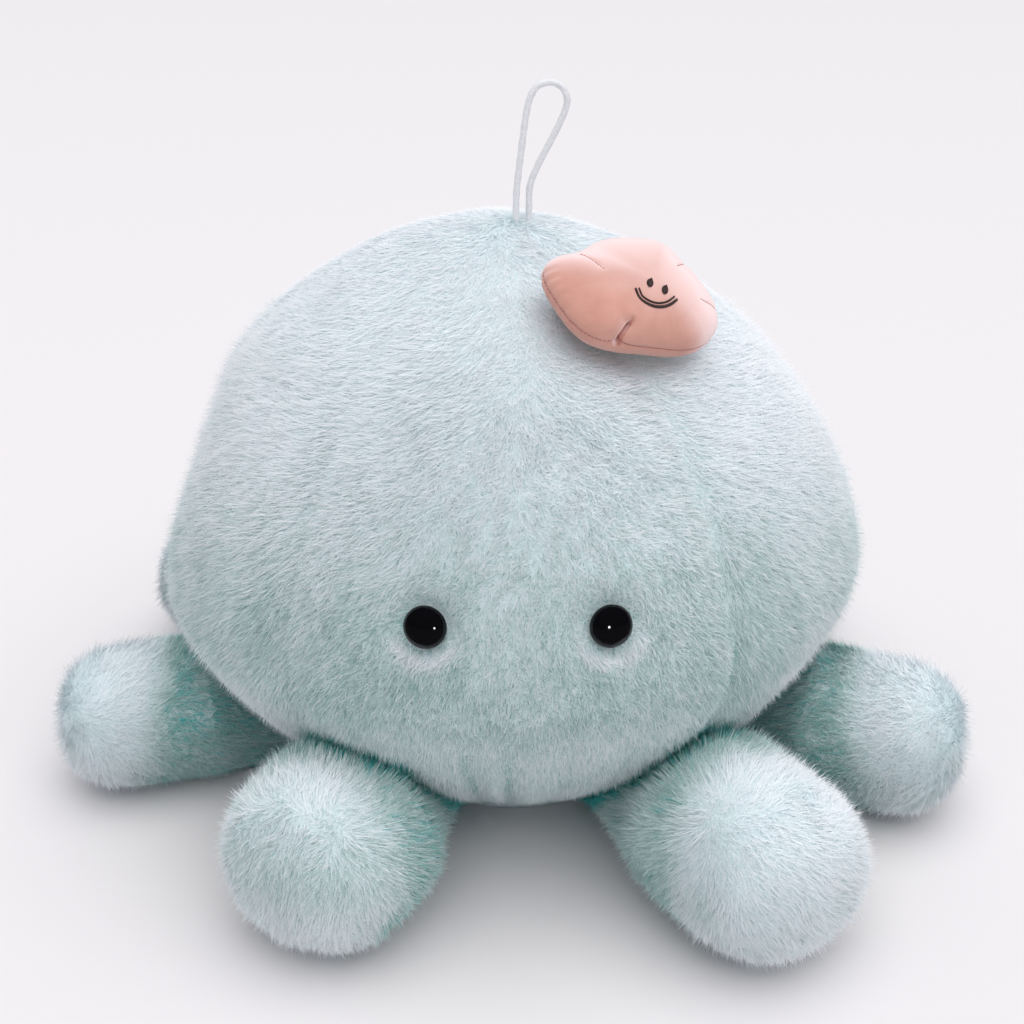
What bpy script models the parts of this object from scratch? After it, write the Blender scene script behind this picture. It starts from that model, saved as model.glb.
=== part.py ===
"""Plush octopus pillow: a stuffed head sewn from six gores, a round base panel, eight stubby legs,
domed safety eyes with their lock washers, a small stuffed ornament with a stitched face and a
hanging loop. Metres, +Z up. The face looks along -Y and the floor is Z = 0."""

import math

import bmesh
import bpy
from mathutils import Matrix, Vector
from mathutils.bvhtree import BVHTree

# Clearance between pieces that touch
SEAT_GAP = 0.0003

# Share of a rounding's radius by which the middle of a rounded edge lies inside its sharp corner
ROUND_SHARE = 0.3

# Where the axes of the legs meet, which puts the origin under the middle of the whole toy
BODY_X = 0.0025
BODY_Y = -0.0057

# Head: the outer skin of the pile
HEAD_FORWARD = 0.0067
HEAD_RADIUS = 0.149
HEAD_TOP = 0.246
WIDEST_HEIGHT = 0.102
CROWN_EXPONENT = 1.68
BELLY_EXPONENT = 1.42
HEAD_LEAN_DEG = 3.6
SEAM_ANGLES_DEG = (33.75, 90.0, 146.25, 213.75, 270.0, 326.25)
SEAM_DEPTH = 0.0028
SEAM_HALF_WIDTH = 0.008
SEAMS_MEET_RADIUS = 0.035
PANEL_FULLNESS = 0.0022
PLEAT_COUNT = 24
PLEAT_DEPTH = 0.0014
PLEAT_TOP = 0.058
# Where the stuffing swells or slackens the skin: angle in degrees, height, spread and how far out
STUFFING = (
    (-104.0, 0.207, 0.050, 0.0120),
    (-90.0, 0.150, 0.032, -0.0045),
    (-92.0, 0.084, 0.030, 0.0030),
    (35.0, 0.215, 0.040, -0.0030),
)
HEAD_SEGMENTS = 96
CROWN_RINGS = 13
BELLY_RINGS = 9

# Base panel under the head
PANEL_RADIUS = 0.066
PANEL_THICKNESS = 0.004
PANEL_EDGE_RADIUS = 0.0016
PANEL_SEGMENTS = 48

# Legs: the direction of each in degrees from the front towards +X, how far its tip reaches and
# half its width. The pile and the stuffing differ a little from leg to leg.
LEGS = {
    "leg_front_left": (-26.3, 0.1925, 0.0415),
    "leg_front_right": (32.8, 0.2090, 0.0402),
    "leg_side_left": (-75.3, 0.2075, 0.0358),
    "leg_side_right": (69.1, 0.2080, 0.0378),
    "leg_rear_side_left": (-118.0, 0.2040, 0.0385),
    "leg_rear_side_right": (125.0, 0.2010, 0.0385),
    "leg_rear_left": (-162.0, 0.2010, 0.0385),
    "leg_rear_right": (163.0, 0.2010, 0.0385),
}
LEG_ROOT = 0.076
LEG_ROOT_HALF_WIDTH = 0.0195
LEG_HEIGHT_SHARE = 0.917
LEG_FULL_AT = 0.139
LEG_FLARE_EXPONENT = 1.6
LEG_TIP_EXPONENT = 2.15
LEG_FLAT_DEPTH = 0.003
LEG_SEGMENTS = 24
LEG_ROOT_RINGS = 5
LEG_TIP_RINGS = 5

# Safety eyes: a glossy dome on a ribbed post, locked behind the skin by a washer. The middle
# between the two lies EYE_MIDDLE beside the axis where the legs meet.
EYE_SPACING = 0.0650
EYE_MIDDLE = 0.0022
EYE_HEIGHT = 0.1340
EYE_RADIUS = 0.0077
EYE_DOME = 0.0056
EYE_RIM = 0.0009
EYE_SEAT_DEPTH = 0.0016
EYE_POST_RADIUS = 0.0024
EYE_POST_LENGTH = 0.014
EYE_POST_TAPER = 0.0012
EYE_POST_TIP_RADIUS = 0.0016
EYE_RIBS = 4
EYE_RIB_HEIGHT = 0.0003
EYE_RIB_PITCH = 0.0016
EYE_SEGMENTS = 24
EYE_DOME_STEPS = 7
SOCKET_RADIUS = 0.021
SOCKET_DEPTH = 0.004
WASHER_RADIUS = 0.0070
WASHER_THICKNESS = 0.0022
WASHER_DEPTH = 0.0062
WASHER_DISH = 0.0009

# Ornament: a stuffed pad with four darts. Its outline is given as angle in degrees and radius,
# in its own plane, whose first axis runs level along the head and whose second axis runs uphill.
ORNAMENT_PLACE = (0.0440, -0.0640)
ORNAMENT_AZIMUTH_DEG = 39.0
ORNAMENT_ELEVATION_DEG = 56.5
ORNAMENT_LIFT = 0.0085
ORNAMENT_HALF_THICKNESS = 0.0125
ORNAMENT_OUTLINE = (
    (0.0, 0.0297),
    (23.0, 0.0313),
    (42.0, 0.0346),
    (62.0, 0.0318),
    (90.0, 0.0303),
    (115.0, 0.0289),
    (140.0, 0.0385),
    (165.0, 0.0356),
    (190.0, 0.0328),
    (214.0, 0.0258),
    (236.0, 0.0218),
    (262.0, 0.0221),
    (300.0, 0.0273),
    (330.0, 0.0307),
)
DART_ANGLES_DEG = (20.0, 130.0, 212.0, 332.0)
DART_DEPTHS = (0.0010, 0.0018, 0.0045, 0.0014)
DART_LENGTH_SHARES = (0.45, 0.50, 0.40, 0.45)
DART_HALF_WIDTH = 0.0036
ORNAMENT_EDGE_EXPONENT = 2.15
ORNAMENT_SEGMENTS = 44
ORNAMENT_RINGS = 6

# Stitched face on the ornament, in its own plane
STITCH_RADIUS = 0.0011
STITCH_EYES = ((-0.0032, -0.0004), (0.0009, -0.0047))
STITCH_EYE_HALF_WIDTH = 0.0015
STITCH_EYE_HALF_LENGTH = 0.0022
STITCH_EYE_HEIGHT = 0.0009
STITCH_EYE_TURN_DEG = -48.0
SMILE_POINTS = (
    (-0.0098, -0.0009),
    (-0.0105, -0.0047),
    (-0.0083, -0.0078),
    (-0.0047, -0.0096),
    (-0.0007, -0.0099),
    (0.0035, -0.0088),
)
SMILE_STEPS = 14

# Hanging loop: the route of the cord's middle above the crown, in X, Y and height
LOOP_DIAMETER = 0.0026
LOOP_SOCKET_DEPTH = 0.006
LOOP_ROUTE = (
    (0.0016, -0.0124, -0.0055),
    (0.0016, -0.0124, 0.0020),
    (0.0020, -0.0124, 0.0100),
    (0.0038, -0.0122, 0.0250),
    (0.0060, -0.0118, 0.0400),
    (0.0090, -0.0114, 0.0466),
    (0.0140, -0.0110, 0.0486),
    (0.0188, -0.0106, 0.0470),
    (0.0211, -0.0104, 0.0425),
    (0.0200, -0.0102, 0.0372),
    (0.0162, -0.0100, 0.0290),
    (0.0104, -0.0100, 0.0180),
    (0.0072, -0.0102, 0.0100),
    (0.0067, -0.0104, 0.0020),
    (0.0067, -0.0104, -0.0055),
)
LOOP_STEP = 0.0068

# Colours and finishes
PLUSH_BLUE = (0.56, 0.74, 0.76)
PANEL_BLUE = (0.50, 0.69, 0.71)
EYE_BLACK = (0.006, 0.006, 0.007)
WASHER_WHITE = (0.80, 0.80, 0.78)
PAD_PINK = (0.86, 0.58, 0.56)
STITCH_BROWN = (0.06, 0.045, 0.045)
CORD_WHITE = (0.86, 0.86, 0.87)


def clear_scene():
    for item in list(bpy.data.objects):
        bpy.data.objects.remove(item, do_unlink=True)


def material(name, colour, roughness, sheen=0.0):
    made = bpy.data.materials.new(name)
    made.use_nodes = True
    shader = made.node_tree.nodes["Principled BSDF"]
    shader.inputs["Base Color"].default_value = (*colour, 1.0)
    shader.inputs["Roughness"].default_value = roughness
    shader.inputs["Metallic"].default_value = 0.0
    shader.inputs["Sheen Weight"].default_value = sheen
    return made


def add_object(name, bm, finish, sharp_deg=50.0):
    bmesh.ops.recalc_face_normals(bm, faces=bm.faces)
    mesh = bpy.data.meshes.new(name)
    bm.to_mesh(mesh)
    bm.free()
    mesh.shade_smooth()
    mesh.set_sharp_from_angle(angle=math.radians(sharp_deg))
    made = bpy.data.objects.new(name, mesh)
    bpy.context.collection.objects.link(made)
    if finish:
        made.data.materials.append(finish)
    return made


def add_cutter(name, bm):
    made = add_object(name, bm, None)
    made.hide_render = True
    made.display_type = "WIRE"
    return made


def subtract(target, cutter):
    cut = target.modifiers.new("Cut " + cutter.name, "BOOLEAN")
    cut.operation = "DIFFERENCE"
    cut.solver = "EXACT"
    cut.object = cutter


def lathe(points, segments):
    """Turns a profile of (radius, height) points about Z. Points of radius 0 close the ends."""
    bm = bmesh.new()
    chain = [bm.verts.new((radius, 0.0, height)) for radius, height in points]
    edges = [bm.edges.new(pair) for pair in zip(chain, chain[1:])]
    bmesh.ops.spin(
        bm,
        geom=chain + edges,
        cent=(0.0, 0.0, 0.0),
        axis=(0.0, 0.0, 1.0),
        dvec=(0.0, 0.0, 0.0),
        angle=2.0 * math.pi,
        steps=segments,
        use_merge=True,
    )
    bmesh.ops.remove_doubles(bm, verts=bm.verts, dist=0.00001)
    bmesh.ops.recalc_face_normals(bm, faces=bm.faces)
    return bm


def smooth_step(low, high, value):
    share = min(max((value - low) / (high - low), 0.0), 1.0)
    return share * share * (3.0 - 2.0 * share)


def arc_powers(angle, exponent):
    """Cosine and sine of a superellipse arc."""
    return math.cos(angle) ** (2.0 / exponent), math.sin(angle) ** (2.0 / exponent)


def head_centre():
    return Vector((BODY_X, BODY_Y - HEAD_FORWARD, 0.0))


def head_bottom():
    return PANEL_THICKNESS + SEAT_GAP


def head_profile():
    """From the crown, round the widest ring and under the belly to the middle of the base."""
    points = [(0.0, HEAD_TOP)]
    for step in range(1, CROWN_RINGS + 1):
        angle = 0.5 * math.pi * (1.0 - step / CROWN_RINGS)
        across, up = arc_powers(angle, CROWN_EXPONENT)
        points.append((HEAD_RADIUS * across, WIDEST_HEIGHT + (HEAD_TOP - WIDEST_HEIGHT) * up))
    for step in range(1, BELLY_RINGS + 1):
        angle = 0.5 * math.pi * step / BELLY_RINGS
        across, down = arc_powers(angle, BELLY_EXPONENT)
        radius = PANEL_RADIUS + (HEAD_RADIUS - PANEL_RADIUS) * across
        points.append((radius, WIDEST_HEIGHT - (WIDEST_HEIGHT - head_bottom()) * down))
    points[-1] = (PANEL_RADIUS, head_bottom())
    points.append((0.5 * PANEL_RADIUS, head_bottom()))
    points.append((0.0, head_bottom()))
    return points


def turn_between(angle, other):
    return (angle - other + math.pi) % (2.0 * math.pi) - math.pi


def seam_relief(angle, radius):
    """How far the skin stands out or in by the gore seams and by the fullness between them."""
    seams = [math.radians(value) for value in SEAM_ANGLES_DEG]
    nearest = min(abs(turn_between(angle, seam)) for seam in seams)
    fade = min(radius / SEAMS_MEET_RADIUS, 1.0)
    valley = SEAM_DEPTH * math.exp(-((nearest * radius / SEAM_HALF_WIDTH) ** 2))
    widest_turn = math.radians(SEAM_ANGLES_DEG[1] - SEAM_ANGLES_DEG[0]) / 2.0
    fullness = PANEL_FULLNESS * math.sin(0.5 * math.pi * min(nearest / widest_turn, 1.0))
    return fade * (fullness - valley)


def stuffing_relief(angle, radius, height):
    """How far uneven stuffing moves the skin at a place."""
    out = 0.0
    for swell_deg, swell_height, spread, swell in STUFFING:
        beside = turn_between(angle, math.radians(swell_deg)) * radius
        above = height - swell_height
        out += swell * math.exp(-(beside * beside + above * above) / spread**2)
    return out


def shape_head(bm):
    """Presses the seams and the pleats into the turned head, lets the stuffing swell and leans it."""
    low = head_bottom()
    for vert in bm.verts:
        radius = math.hypot(vert.co.x, vert.co.y)
        if radius < 1e-6 or vert.co.z < low + 1e-6:
            continue
        angle = math.atan2(vert.co.x, -vert.co.y)
        rise = smooth_step(low, PLEAT_TOP, vert.co.z)
        pleat = PLEAT_DEPTH * (1.0 - rise) * math.cos(PLEAT_COUNT * angle)
        relief = seam_relief(angle, radius) * smooth_step(low, WIDEST_HEIGHT, vert.co.z)
        relief += stuffing_relief(angle, radius, vert.co.z) * smooth_step(low, 2.0 * low, vert.co.z)
        share = 1.0 + (relief + pleat) / radius
        vert.co.x *= share
        vert.co.y *= share
    lean = math.sin(math.radians(HEAD_LEAN_DEG))
    for vert in bm.verts:
        free = smooth_step(low, WIDEST_HEIGHT, vert.co.z)
        across, above = vert.co.x, vert.co.z - WIDEST_HEIGHT
        vert.co.z += lean * across * free
        vert.co.x -= lean * above * free
    bmesh.ops.translate(bm, verts=bm.verts, vec=head_centre())


def head_shell(offset=0.0, sockets=True):
    """The head's skin. An offset moves it outwards, which leaves that much room round it."""
    bm = lathe(head_profile(), HEAD_SEGMENTS)
    bmesh.ops.triangulate(bm, faces=bm.faces, quad_method="FIXED")
    shape_head(bm)
    if sockets:
        for side in (-1.0, 1.0):
            press_socket(bm, side)
    if offset:
        bm.normal_update()
        moves = [(vert, vert.normal * offset) for vert in bm.verts]
        for vert, move in moves:
            vert.co += move
    return bm


def surface_hit(bm, start, direction):
    """The point and outward normal where a line from outside first meets a closed skin."""
    tree = BVHTree.FromBMesh(bm)
    place, normal, _, _ = tree.ray_cast(Vector(start), Vector(direction))
    return place, normal


def eye_axis(bm, side):
    """Where an eye's middle lies on the skin, and the way it looks."""
    far_front = head_centre().y - 2.0 * HEAD_RADIUS
    start = (BODY_X + EYE_MIDDLE + side * EYE_SPACING / 2.0, far_front, EYE_HEIGHT)
    place, _ = surface_hit(bm, start, (0.0, 1.0, 0.0))
    outward = place - (head_centre() + Vector((0.0, 0.0, WIDEST_HEIGHT)))
    stretch = HEAD_TOP - WIDEST_HEIGHT
    outward = Vector((outward.x / HEAD_RADIUS**2, outward.y / HEAD_RADIUS**2, outward.z / stretch**2))
    return place, outward.normalized()


def press_socket(bm, side):
    """A shallow round hollow in the skin, which the post's pull makes about an eye."""
    place, outward = eye_axis(bm, side)
    for vert in bm.verts:
        away = (vert.co - place).length
        if away < SOCKET_RADIUS:
            vert.co -= outward * SOCKET_DEPTH * (1.0 - smooth_step(0.0, SOCKET_RADIUS, away))


def eye_frame(side):
    """Placing matrix for an eye: Z looks out of the head, and 0 is the back of the dome."""
    smooth, pressed = head_shell(sockets=False), head_shell()
    place, outward = eye_axis(smooth, side)
    seat, _ = surface_hit(pressed, place + outward * HEAD_RADIUS, -outward)
    smooth.free()
    pressed.free()
    turn = outward.to_track_quat("Z", "Y").to_matrix().to_4x4()
    return Matrix.Translation(seat - outward * EYE_SEAT_DEPTH) @ turn


def rib_profile():
    """The post's side, from the dome's back to its tip, with the ribs that hold the washer."""
    points = []
    first = WASHER_DEPTH + WASHER_THICKNESS + 2.0 * SEAT_GAP
    for rib in range(EYE_RIBS):
        at = first + rib * EYE_RIB_PITCH
        if at + EYE_RIB_PITCH < EYE_POST_LENGTH:
            points.append((EYE_POST_RADIUS, -at))
            points.append((EYE_POST_RADIUS + EYE_RIB_HEIGHT, -(at + 0.3 * EYE_RIB_PITCH)))
    return points


def make_eye(name, side, finish):
    """A domed eye with its back face, its ribbed post and the post's tapered tip."""
    dome = []
    for step in range(EYE_DOME_STEPS + 1):
        angle = 0.5 * math.pi * (1.0 - step / EYE_DOME_STEPS)
        dome.append((EYE_RADIUS * math.cos(angle), EYE_RIM + (EYE_DOME - EYE_RIM) * math.sin(angle)))
    dome[0] = (0.0, EYE_DOME)
    profile = dome + [(EYE_RADIUS - ROUND_SHARE * EYE_RIM, 0.0), (EYE_POST_RADIUS, 0.0)]
    profile += rib_profile()
    profile.append((EYE_POST_RADIUS, EYE_POST_TAPER - EYE_POST_LENGTH))
    profile += [(EYE_POST_TIP_RADIUS, -EYE_POST_LENGTH), (0.0, -EYE_POST_LENGTH)]
    bm = lathe(profile, EYE_SEGMENTS)
    bmesh.ops.transform(bm, matrix=eye_frame(side), verts=bm.verts)
    return add_object(name, bm, finish, 40.0)


def make_washer(name, side, finish):
    """The lock washer: a dished ring pushed up the post until it grips behind the skin."""
    hole = EYE_POST_RADIUS + SEAT_GAP
    top, low = -WASHER_DEPTH, -(WASHER_DEPTH + WASHER_THICKNESS)
    profile = [
        (hole, top - WASHER_DISH),
        (0.5 * (hole + WASHER_RADIUS), top),
        (WASHER_RADIUS, top - WASHER_DISH),
        (WASHER_RADIUS, low + WASHER_DISH / 2.0),
        (WASHER_RADIUS - WASHER_DISH / 2.0, low),
        (hole, low),
        (hole, top - WASHER_DISH),
    ]
    bm = lathe(profile, EYE_SEGMENTS)
    bmesh.ops.transform(bm, matrix=eye_frame(side), verts=bm.verts)
    return add_object(name, bm, finish, 40.0)


def make_eye_pocket(name, side):
    """What an eye, its post and its washer take out of the head, with room all round."""
    out = SOCKET_DEPTH + EYE_DOME
    tip = EYE_POST_LENGTH + SEAT_GAP
    post = EYE_POST_RADIUS + EYE_RIB_HEIGHT + SEAT_GAP
    profile = [
        (0.0, out),
        (EYE_RADIUS + SEAT_GAP, out),
        (EYE_RADIUS + SEAT_GAP, -SEAT_GAP),
        (post, -SEAT_GAP),
        (post, -(WASHER_DEPTH - SEAT_GAP)),
        (WASHER_RADIUS + SEAT_GAP, -(WASHER_DEPTH - SEAT_GAP)),
        (WASHER_RADIUS + SEAT_GAP, -(WASHER_DEPTH + WASHER_THICKNESS + SEAT_GAP)),
        (post, -(WASHER_DEPTH + WASHER_THICKNESS + SEAT_GAP)),
        (post, -tip),
        (0.0, -tip),
    ]
    bm = lathe(profile, EYE_SEGMENTS)
    bmesh.ops.transform(bm, matrix=eye_frame(side), verts=bm.verts)
    return add_cutter(name, bm)


def crown_height(across, along):
    """The height of the head's skin above a point of the floor."""
    bm = head_shell(sockets=False)
    place, _ = surface_hit(bm, (across, along, 2.0 * HEAD_TOP), (0.0, 0.0, -1.0))
    bm.free()
    return place.z


def loop_crown():
    """The height that the loop's route is counted from, where its first end enters the crown."""
    first, last = LOOP_ROUTE[0], LOOP_ROUTE[-1]
    return crown_height(BODY_X + 0.5 * (first[0] + last[0]), BODY_Y + 0.5 * (first[1] + last[1]))


def make_loop_pocket(name, end):
    """A short hole in the crown's seam, which an end of the loop is sewn into."""
    across, along, _ = end
    radius = LOOP_DIAMETER / 2.0 + SEAT_GAP
    bm = bmesh.new()
    bmesh.ops.create_cone(
        bm,
        cap_ends=True,
        segments=12,
        radius1=radius,
        radius2=radius,
        depth=3.0 * LOOP_SOCKET_DEPTH,
    )
    middle = loop_crown() + 0.5 * LOOP_SOCKET_DEPTH
    bmesh.ops.translate(bm, verts=bm.verts, vec=(BODY_X + across, BODY_Y + along, middle))
    return add_cutter(name, bm)


def make_head(finish):
    head = add_object("head", head_shell(), finish, 60.0)
    for label, side in (("left", -1.0), ("right", 1.0)):
        subtract(head, make_eye_pocket("cutter_eye_" + label, side))
    subtract(head, make_loop_pocket("cutter_loop_start", LOOP_ROUTE[0]))
    subtract(head, make_loop_pocket("cutter_loop_end", LOOP_ROUTE[-1]))
    return head


def make_base_panel(finish):
    """The round panel that closes the head from below, rounded where its edge is sewn."""
    edge, thick = PANEL_EDGE_RADIUS, PANEL_THICKNESS
    inset = ROUND_SHARE * edge
    profile = [(0.0, thick), (PANEL_RADIUS - edge, thick)]
    profile += [(PANEL_RADIUS - inset, thick - inset), (PANEL_RADIUS, thick - edge)]
    profile += [(PANEL_RADIUS, edge), (PANEL_RADIUS - inset, inset), (PANEL_RADIUS - edge, 0.0)]
    profile.append((0.0, 0.0))
    bm = lathe(profile, PANEL_SEGMENTS)
    bmesh.ops.translate(bm, verts=bm.verts, vec=head_centre())
    return add_object("base_panel", bm, finish, 60.0)


def leg_half_width(along, full):
    """Half the leg's width at a distance from the axis of the legs, short of its round tip."""
    share = min(max((along - LEG_ROOT) / (LEG_FULL_AT - LEG_ROOT), 0.0), 1.0)
    return LEG_ROOT_HALF_WIDTH + (full - LEG_ROOT_HALF_WIDTH) * share**LEG_FLARE_EXPONENT


def leg_profile(reach, full):
    """Half widths along the leg, from its sewn root to its tip."""
    tip_start = reach - full
    points = [(0.0, LEG_ROOT)]
    for step in range(LEG_ROOT_RINGS + 1):
        along = LEG_ROOT + (tip_start - LEG_ROOT) * step / LEG_ROOT_RINGS
        points.append((leg_half_width(along, full), along))
    for step in range(1, LEG_TIP_RINGS):
        across, ahead = arc_powers(0.5 * math.pi * step / LEG_TIP_RINGS, LEG_TIP_EXPONENT)
        points.append((full * across, tip_start + full * ahead))
    points.append((0.0, reach))
    return points


def make_leg(name, room, finish):
    """One stuffed leg, which lies on the floor and is pressed hollow by the belly above it."""
    angle_deg, reach, full = LEGS[name]
    bm = lathe(leg_profile(reach, full), LEG_SEGMENTS)
    for vert in bm.verts:
        side, level, along = vert.co.x, vert.co.y, vert.co.z
        section = leg_half_width(min(along, reach - full), full)
        height = LEG_HEIGHT_SHARE * (section + level) - LEG_FLAT_DEPTH
        vert.co = Vector((side, -along, max(height, 0.0)))
    bmesh.ops.rotate(bm, verts=bm.verts, matrix=Matrix.Rotation(math.radians(angle_deg), 3, "Z"))
    bmesh.ops.translate(bm, verts=bm.verts, vec=(BODY_X, BODY_Y, 0.0))
    leg = add_object(name, bm, finish, 60.0)
    subtract(leg, room)
    return leg


def ornament_frame():
    """Placing matrix of the pad: X level along the head, Y uphill, Z out of the head."""
    azimuth, elevation = math.radians(ORNAMENT_AZIMUTH_DEG), math.radians(ORNAMENT_ELEVATION_DEG)
    flat = math.cos(elevation)
    out = Vector((math.sin(azimuth) * flat, -math.cos(azimuth) * flat, math.sin(elevation)))
    level = Vector((0.0, 0.0, 1.0)).cross(out).normalized()
    uphill = out.cross(level)
    across, along = BODY_X + ORNAMENT_PLACE[0], BODY_Y + ORNAMENT_PLACE[1]
    middle = Vector((across, along, crown_height(across, along))) + out * ORNAMENT_LIFT
    turn = Matrix((level, uphill, out)).transposed().to_4x4()
    return Matrix.Translation(middle) @ turn


def smooth_through(keys, period, value):
    """A closed smooth curve (Catmull-Rom) through (position, size) keys, read at a position."""
    value %= period
    count = len(keys)
    for index in range(count):
        start = keys[index][0]
        end = keys[(index + 1) % count][0] + (period if index == count - 1 else 0.0)
        if start <= value < end:
            share = (value - start) / (end - start)
            before, here = keys[index - 1][1], keys[index][1]
            after, later = keys[(index + 1) % count][1], keys[(index + 2) % count][1]
            rise = 0.5 * (after - before)
            fall = 0.5 * (later - here)
            cube, square = share**3, share**2
            return (
                (2.0 * cube - 3.0 * square + 1.0) * here
                + (cube - 2.0 * square + share) * rise
                + (3.0 * square - 2.0 * cube) * after
                + (cube - square) * fall
            )
    return keys[0][1]


def dart_press(angle, out_share, radius):
    """How deep the darts press the pad at a place, by angle and by share of the way out."""
    depth = 0.0
    for dart_deg, dart_depth, length in zip(DART_ANGLES_DEG, DART_DEPTHS, DART_LENGTH_SHARES):
        beside = abs(turn_between(angle, math.radians(dart_deg))) * radius
        along = smooth_step(1.0 - length, 1.0, out_share)
        depth += dart_depth * along * math.exp(-((beside / DART_HALF_WIDTH) ** 2))
    return depth


def ornament_shell():
    """The stuffed pad in its own frame: a puffed lens with the outline's lobes and its darts."""
    profile = [(0.0, ORNAMENT_HALF_THICKNESS)]
    rings = 2 * ORNAMENT_RINGS
    for step in range(1, rings):
        angle = math.pi * (0.5 - step / rings)
        across, up = arc_powers(abs(angle), ORNAMENT_EDGE_EXPONENT)
        height = ORNAMENT_HALF_THICKNESS * up * (1.0 if angle >= 0.0 else -1.0)
        profile.append((across, height if abs(angle) > 1e-9 else 0.0))
    profile.append((0.0, -ORNAMENT_HALF_THICKNESS))
    bm = lathe(profile, ORNAMENT_SEGMENTS)
    for vert in bm.verts:
        share = math.hypot(vert.co.x, vert.co.y)
        if share < 1e-6:
            continue
        angle = math.atan2(vert.co.y, vert.co.x)
        rim = smooth_through(ORNAMENT_OUTLINE, 360.0, math.degrees(angle))
        press = dart_press(angle, share, rim * share)
        pulled = (rim * share - press) / share
        vert.co.x *= pulled
        vert.co.y *= pulled
        vert.co.z *= 1.0 - press / ORNAMENT_HALF_THICKNESS
    return bm


def make_ornament(room, finish):
    bm = ornament_shell()
    bmesh.ops.transform(bm, matrix=ornament_frame(), verts=bm.verts)
    pad = add_object("ornament_pad", bm, finish, 70.0)
    subtract(pad, room)
    return pad


def pad_top(across, along, above):
    """The point a given way above the pad's upper skin, in world coordinates."""
    bm = ornament_shell()
    place, _ = surface_hit(bm, (across, along, 2.0 * ORNAMENT_HALF_THICKNESS), (0.0, 0.0, -1.0))
    bm.free()
    return ornament_frame() @ (place + Vector((0.0, 0.0, above)))


def add_tube(name, points, diameter, resolution, finish):
    """A round cord or thread: a bevelled curve with filled ends."""
    curve = bpy.data.curves.new(name, "CURVE")
    curve.dimensions = "3D"
    curve.bevel_depth = diameter / 2.0
    curve.bevel_resolution = resolution
    curve.render_resolution_u = 0
    curve.use_fill_caps = True
    spline = curve.splines.new("POLY")
    spline.points.add(len(points) - 1)
    for point, place in zip(spline.points, points):
        point.co = (*place, 1.0)
    made = bpy.data.objects.new(name, curve)
    bpy.context.collection.objects.link(made)
    curve.materials.append(finish)
    return made


def curve_through(keys, steps):
    """Points along an open smooth curve (Catmull-Rom) through the keys."""
    keys = [Vector(key) for key in keys]
    points = []
    spans = len(keys) - 1
    for step in range(steps + 1):
        at = spans * step / steps
        index = min(int(at), spans - 1)
        share = at - index
        here, after = keys[index], keys[index + 1]
        before = keys[index - 1] if index > 0 else here * 2.0 - after
        later = keys[index + 2] if index + 2 <= spans else after * 2.0 - here
        points.append(
            0.5
            * (
                2.0 * here
                + (after - before) * share
                + (2.0 * before - 5.0 * here + 4.0 * after - later) * share**2
                + (3.0 * here - before - 3.0 * after + later) * share**3
            )
        )
    return points


def evenly_spaced(points, step):
    """Points a step apart along a fine polyline, with both of its ends."""
    length = sum((b - a).length for a, b in zip(points, points[1:]))
    count = max(round(length / step), 2)
    spacing = length / count
    placed, gone = [points[0]], 0.0
    for a, b in zip(points, points[1:]):
        span = (b - a).length
        while len(placed) < count and gone + span >= spacing * len(placed):
            placed.append(a.lerp(b, (spacing * len(placed) - gone) / span))
        gone += span
    return placed + [points[-1]]


def make_smile(finish):
    route = curve_through([(*point, 0.0) for point in SMILE_POINTS], SMILE_STEPS)
    lifted = [pad_top(point.x, point.y, STITCH_RADIUS + 2.0 * SEAT_GAP) for point in route]
    return add_tube("smile_stitching", lifted, 2.0 * STITCH_RADIUS, 1, finish)


def make_stitched_eye(name, place, finish):
    """A small raised oval of satin stitch."""
    bm = bmesh.new()
    bmesh.ops.create_uvsphere(bm, u_segments=12, v_segments=8, radius=1.0)
    sizes = (STITCH_EYE_HALF_WIDTH, STITCH_EYE_HALF_LENGTH, STITCH_EYE_HEIGHT)
    bmesh.ops.scale(bm, verts=bm.verts, vec=sizes)
    turn = Matrix.Rotation(math.radians(STITCH_EYE_TURN_DEG), 3, "Z")
    bmesh.ops.rotate(bm, verts=bm.verts, matrix=turn)
    middle = pad_top(place[0], place[1], STITCH_EYE_HEIGHT + 2.0 * SEAT_GAP)
    frame = ornament_frame()
    frame.translation = middle
    bmesh.ops.transform(bm, matrix=frame, verts=bm.verts)
    return add_object(name, bm, finish, 60.0)


def make_loop(finish):
    crown = loop_crown()
    keys = [(BODY_X + across, BODY_Y + along, crown + height) for across, along, height in LOOP_ROUTE]
    fine = curve_through(keys, 40 * len(keys))
    return add_tube("hanging_loop", evenly_spaced(fine, LOOP_STEP), LOOP_DIAMETER, 2, finish)


def main():
    clear_scene()
    plush = material("Plush pile", PLUSH_BLUE, 0.95, 0.3)
    under = material("Base panel plush", PANEL_BLUE, 0.95, 0.2)
    black = material("Black eye plastic", EYE_BLACK, 0.08)
    white = material("Washer plastic", WASHER_WHITE, 0.45)
    pink = material("Ornament velour", PAD_PINK, 0.9, 0.3)
    brown = material("Stitching thread", STITCH_BROWN, 0.55)
    cord = material("Loop cord", CORD_WHITE, 0.6)

    make_head(plush)
    make_base_panel(under)
    room = add_cutter("cutter_head_room", head_shell(SEAT_GAP, sockets=False))
    for name in LEGS:
        make_leg(name, room, plush)
    for label, side in (("left", -1.0), ("right", 1.0)):
        make_eye("eye_" + label, side, black)
        make_washer("eye_washer_" + label, side, white)
    make_ornament(room, pink)
    make_smile(brown)
    make_stitched_eye("stitched_eye_left", STITCH_EYES[0], brown)
    make_stitched_eye("stitched_eye_right", STITCH_EYES[1], brown)
    make_loop(cord)


main()
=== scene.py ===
"""The looks of the plush octopus pillow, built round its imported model. Metres, +Z up. The face looks
along -Y and the floor is Z = 0. Each plush piece is a padded skin with a coat of short strands."""

import math

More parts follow.
